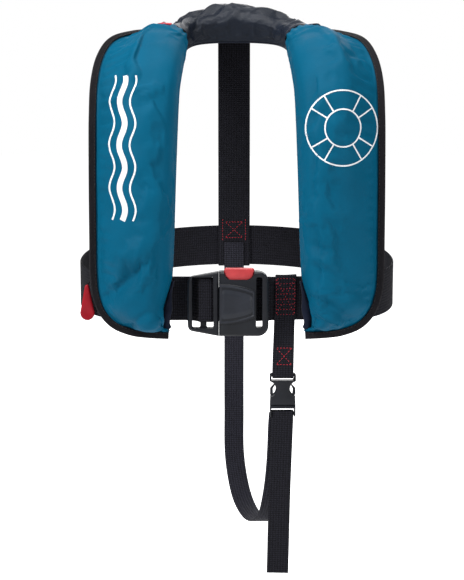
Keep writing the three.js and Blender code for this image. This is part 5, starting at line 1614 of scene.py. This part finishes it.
class JACKET_OT_stage(Maker, bpy.types.Operator):
    """Set the pale floor, the soft lights and the camera"""

    bl_idname = "jacket.stage"
    bl_label = "Stage"

    def execute(self, context):
        scene = context.scene
        scene.view_settings.view_transform = "Standard"
        low = CAD_BOX[0][2]
        bpy.ops.mesh.primitive_plane_add(size=14, location=(0, 3, low - 0.012))
        floor = context.object
        floor.name = "floor"
        paint = Finish("floor_paint", 0.9)
        paint.shader.inputs["Base Color"].default_value = (0.85, 0.85, 0.86, 1)
        paint.shader.inputs["Emission Color"].default_value = (1, 1, 1, 1)
        self.seen(paint.tree, paint.shader.inputs["Emission Strength"], 0.12, 0.98)
        floor.data.materials.append(paint.material)
        self.world(scene)
        self.light("key", (-1.15, -1.0, 0.9), 31, 0.5)
        self.light("fill", (1.4, -1.3, 0.35), 14, 0.9)
        self.light("top", (0.1, -0.1, 1.4), 16, 0.7)
        self.light("back", (0.3, 1.8, 0.6), 20, 1.4)
        camera = bpy.data.objects.new("camera", bpy.data.cameras.new("camera"))
        scene.collection.objects.link(camera)
        camera.location = (-0.0056, -1.791, -0.0512)
        camera.rotation_euler = (math.radians(90 - 8), 0, 0)
        camera.data.lens = 90.87
        camera.data.sensor_width = 36
        scene.camera = camera
        return {"FINISHED"}

    def world(self, scene):
        """A white room, dimmer for the light that it gives than for the eye."""
        world = bpy.data.worlds.new("room")
        world.use_nodes = True
        tree = world.node_tree
        background = tree.nodes["Background"]
        background.inputs["Color"].default_value = (1, 1, 1, 1)
        self.seen(tree, background.inputs["Strength"], 0.15, 1.0)
        scene.world = world

    def seen(self, tree, socket, given, shown):
        """Sets a strength to one value for the light that is given and another for the eye."""
        path = tree.nodes.new("ShaderNodeLightPath")
        strength = tree.nodes.new("ShaderNodeMapRange")
        strength.inputs["To Min"].default_value = given
        strength.inputs["To Max"].default_value = shown
        tree.links.new(path.outputs["Is Camera Ray"], strength.inputs["Value"])
        tree.links.new(strength.outputs["Result"], socket)

    def light(self, name, place, power, size):
        """A square soft light aimed at the middle of the jacket."""
        lamp = bpy.data.lights.new(name, "AREA")
        lamp.energy = power
        lamp.size = size
        obj = bpy.data.objects.new(name, lamp)
        bpy.context.scene.collection.objects.link(obj)
        obj.location = place
        aim = np.array([0.0, -0.1, -0.2]) - np.array(place)
        flat = math.hypot(aim[0], aim[1])
        obj.rotation_euler = (math.atan2(flat, -aim[2]), 0, math.atan2(aim[1], aim[0]) - math.pi / 2)


OPERATORS = (
    JACKET_OT_materials, JACKET_OT_stage, JACKET_OT_handle, JACKET_OT_lobes, JACKET_OT_collar,
    JACKET_OT_lining, JACKET_OT_binding, JACKET_OT_closures, JACKET_OT_prints, JACKET_OT_belts,
    JACKET_OT_straps, JACKET_OT_stitches, JACKET_OT_buckle, JACKET_OT_clip, JACKET_OT_inside,
    JACKET_OT_tag,
)


class JACKET_PT_panel(bpy.types.Panel):
    """The jacket's settings and its operators in the order of making."""

    bl_idname = "JACKET_PT_panel"
    bl_label = "Life Jacket"
    bl_space_type = "VIEW_3D"
    bl_region_type = "UI"
    bl_category = "Life Jacket"

    def draw(self, context):
        look = context.scene.jacket_look
        for name in look.__annotations__:
            self.layout.prop(look, name)
        for operator in OPERATORS:
            self.layout.operator(operator.bl_idname)


CLASSES = (JacketLook, *OPERATORS, JACKET_PT_panel)


def register():
    """Registers the classes and the settings."""
    for cls in CLASSES:
        bpy.utils.register_class(cls)
    bpy.types.Scene.jacket_look = bpy.props.PointerProperty(type=JacketLook)


def unregister():
    """Takes the classes and the settings away again."""
    del bpy.types.Scene.jacket_look
    for cls in reversed(CLASSES):
        bpy.utils.unregister_class(cls)


def main():
    """Registers the add-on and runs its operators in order."""
    register()
    for operator in OPERATORS:
        group, name = operator.bl_idname.split(".")
        getattr(getattr(bpy.ops, group), name)()


if __name__ == "__main__":
    main()
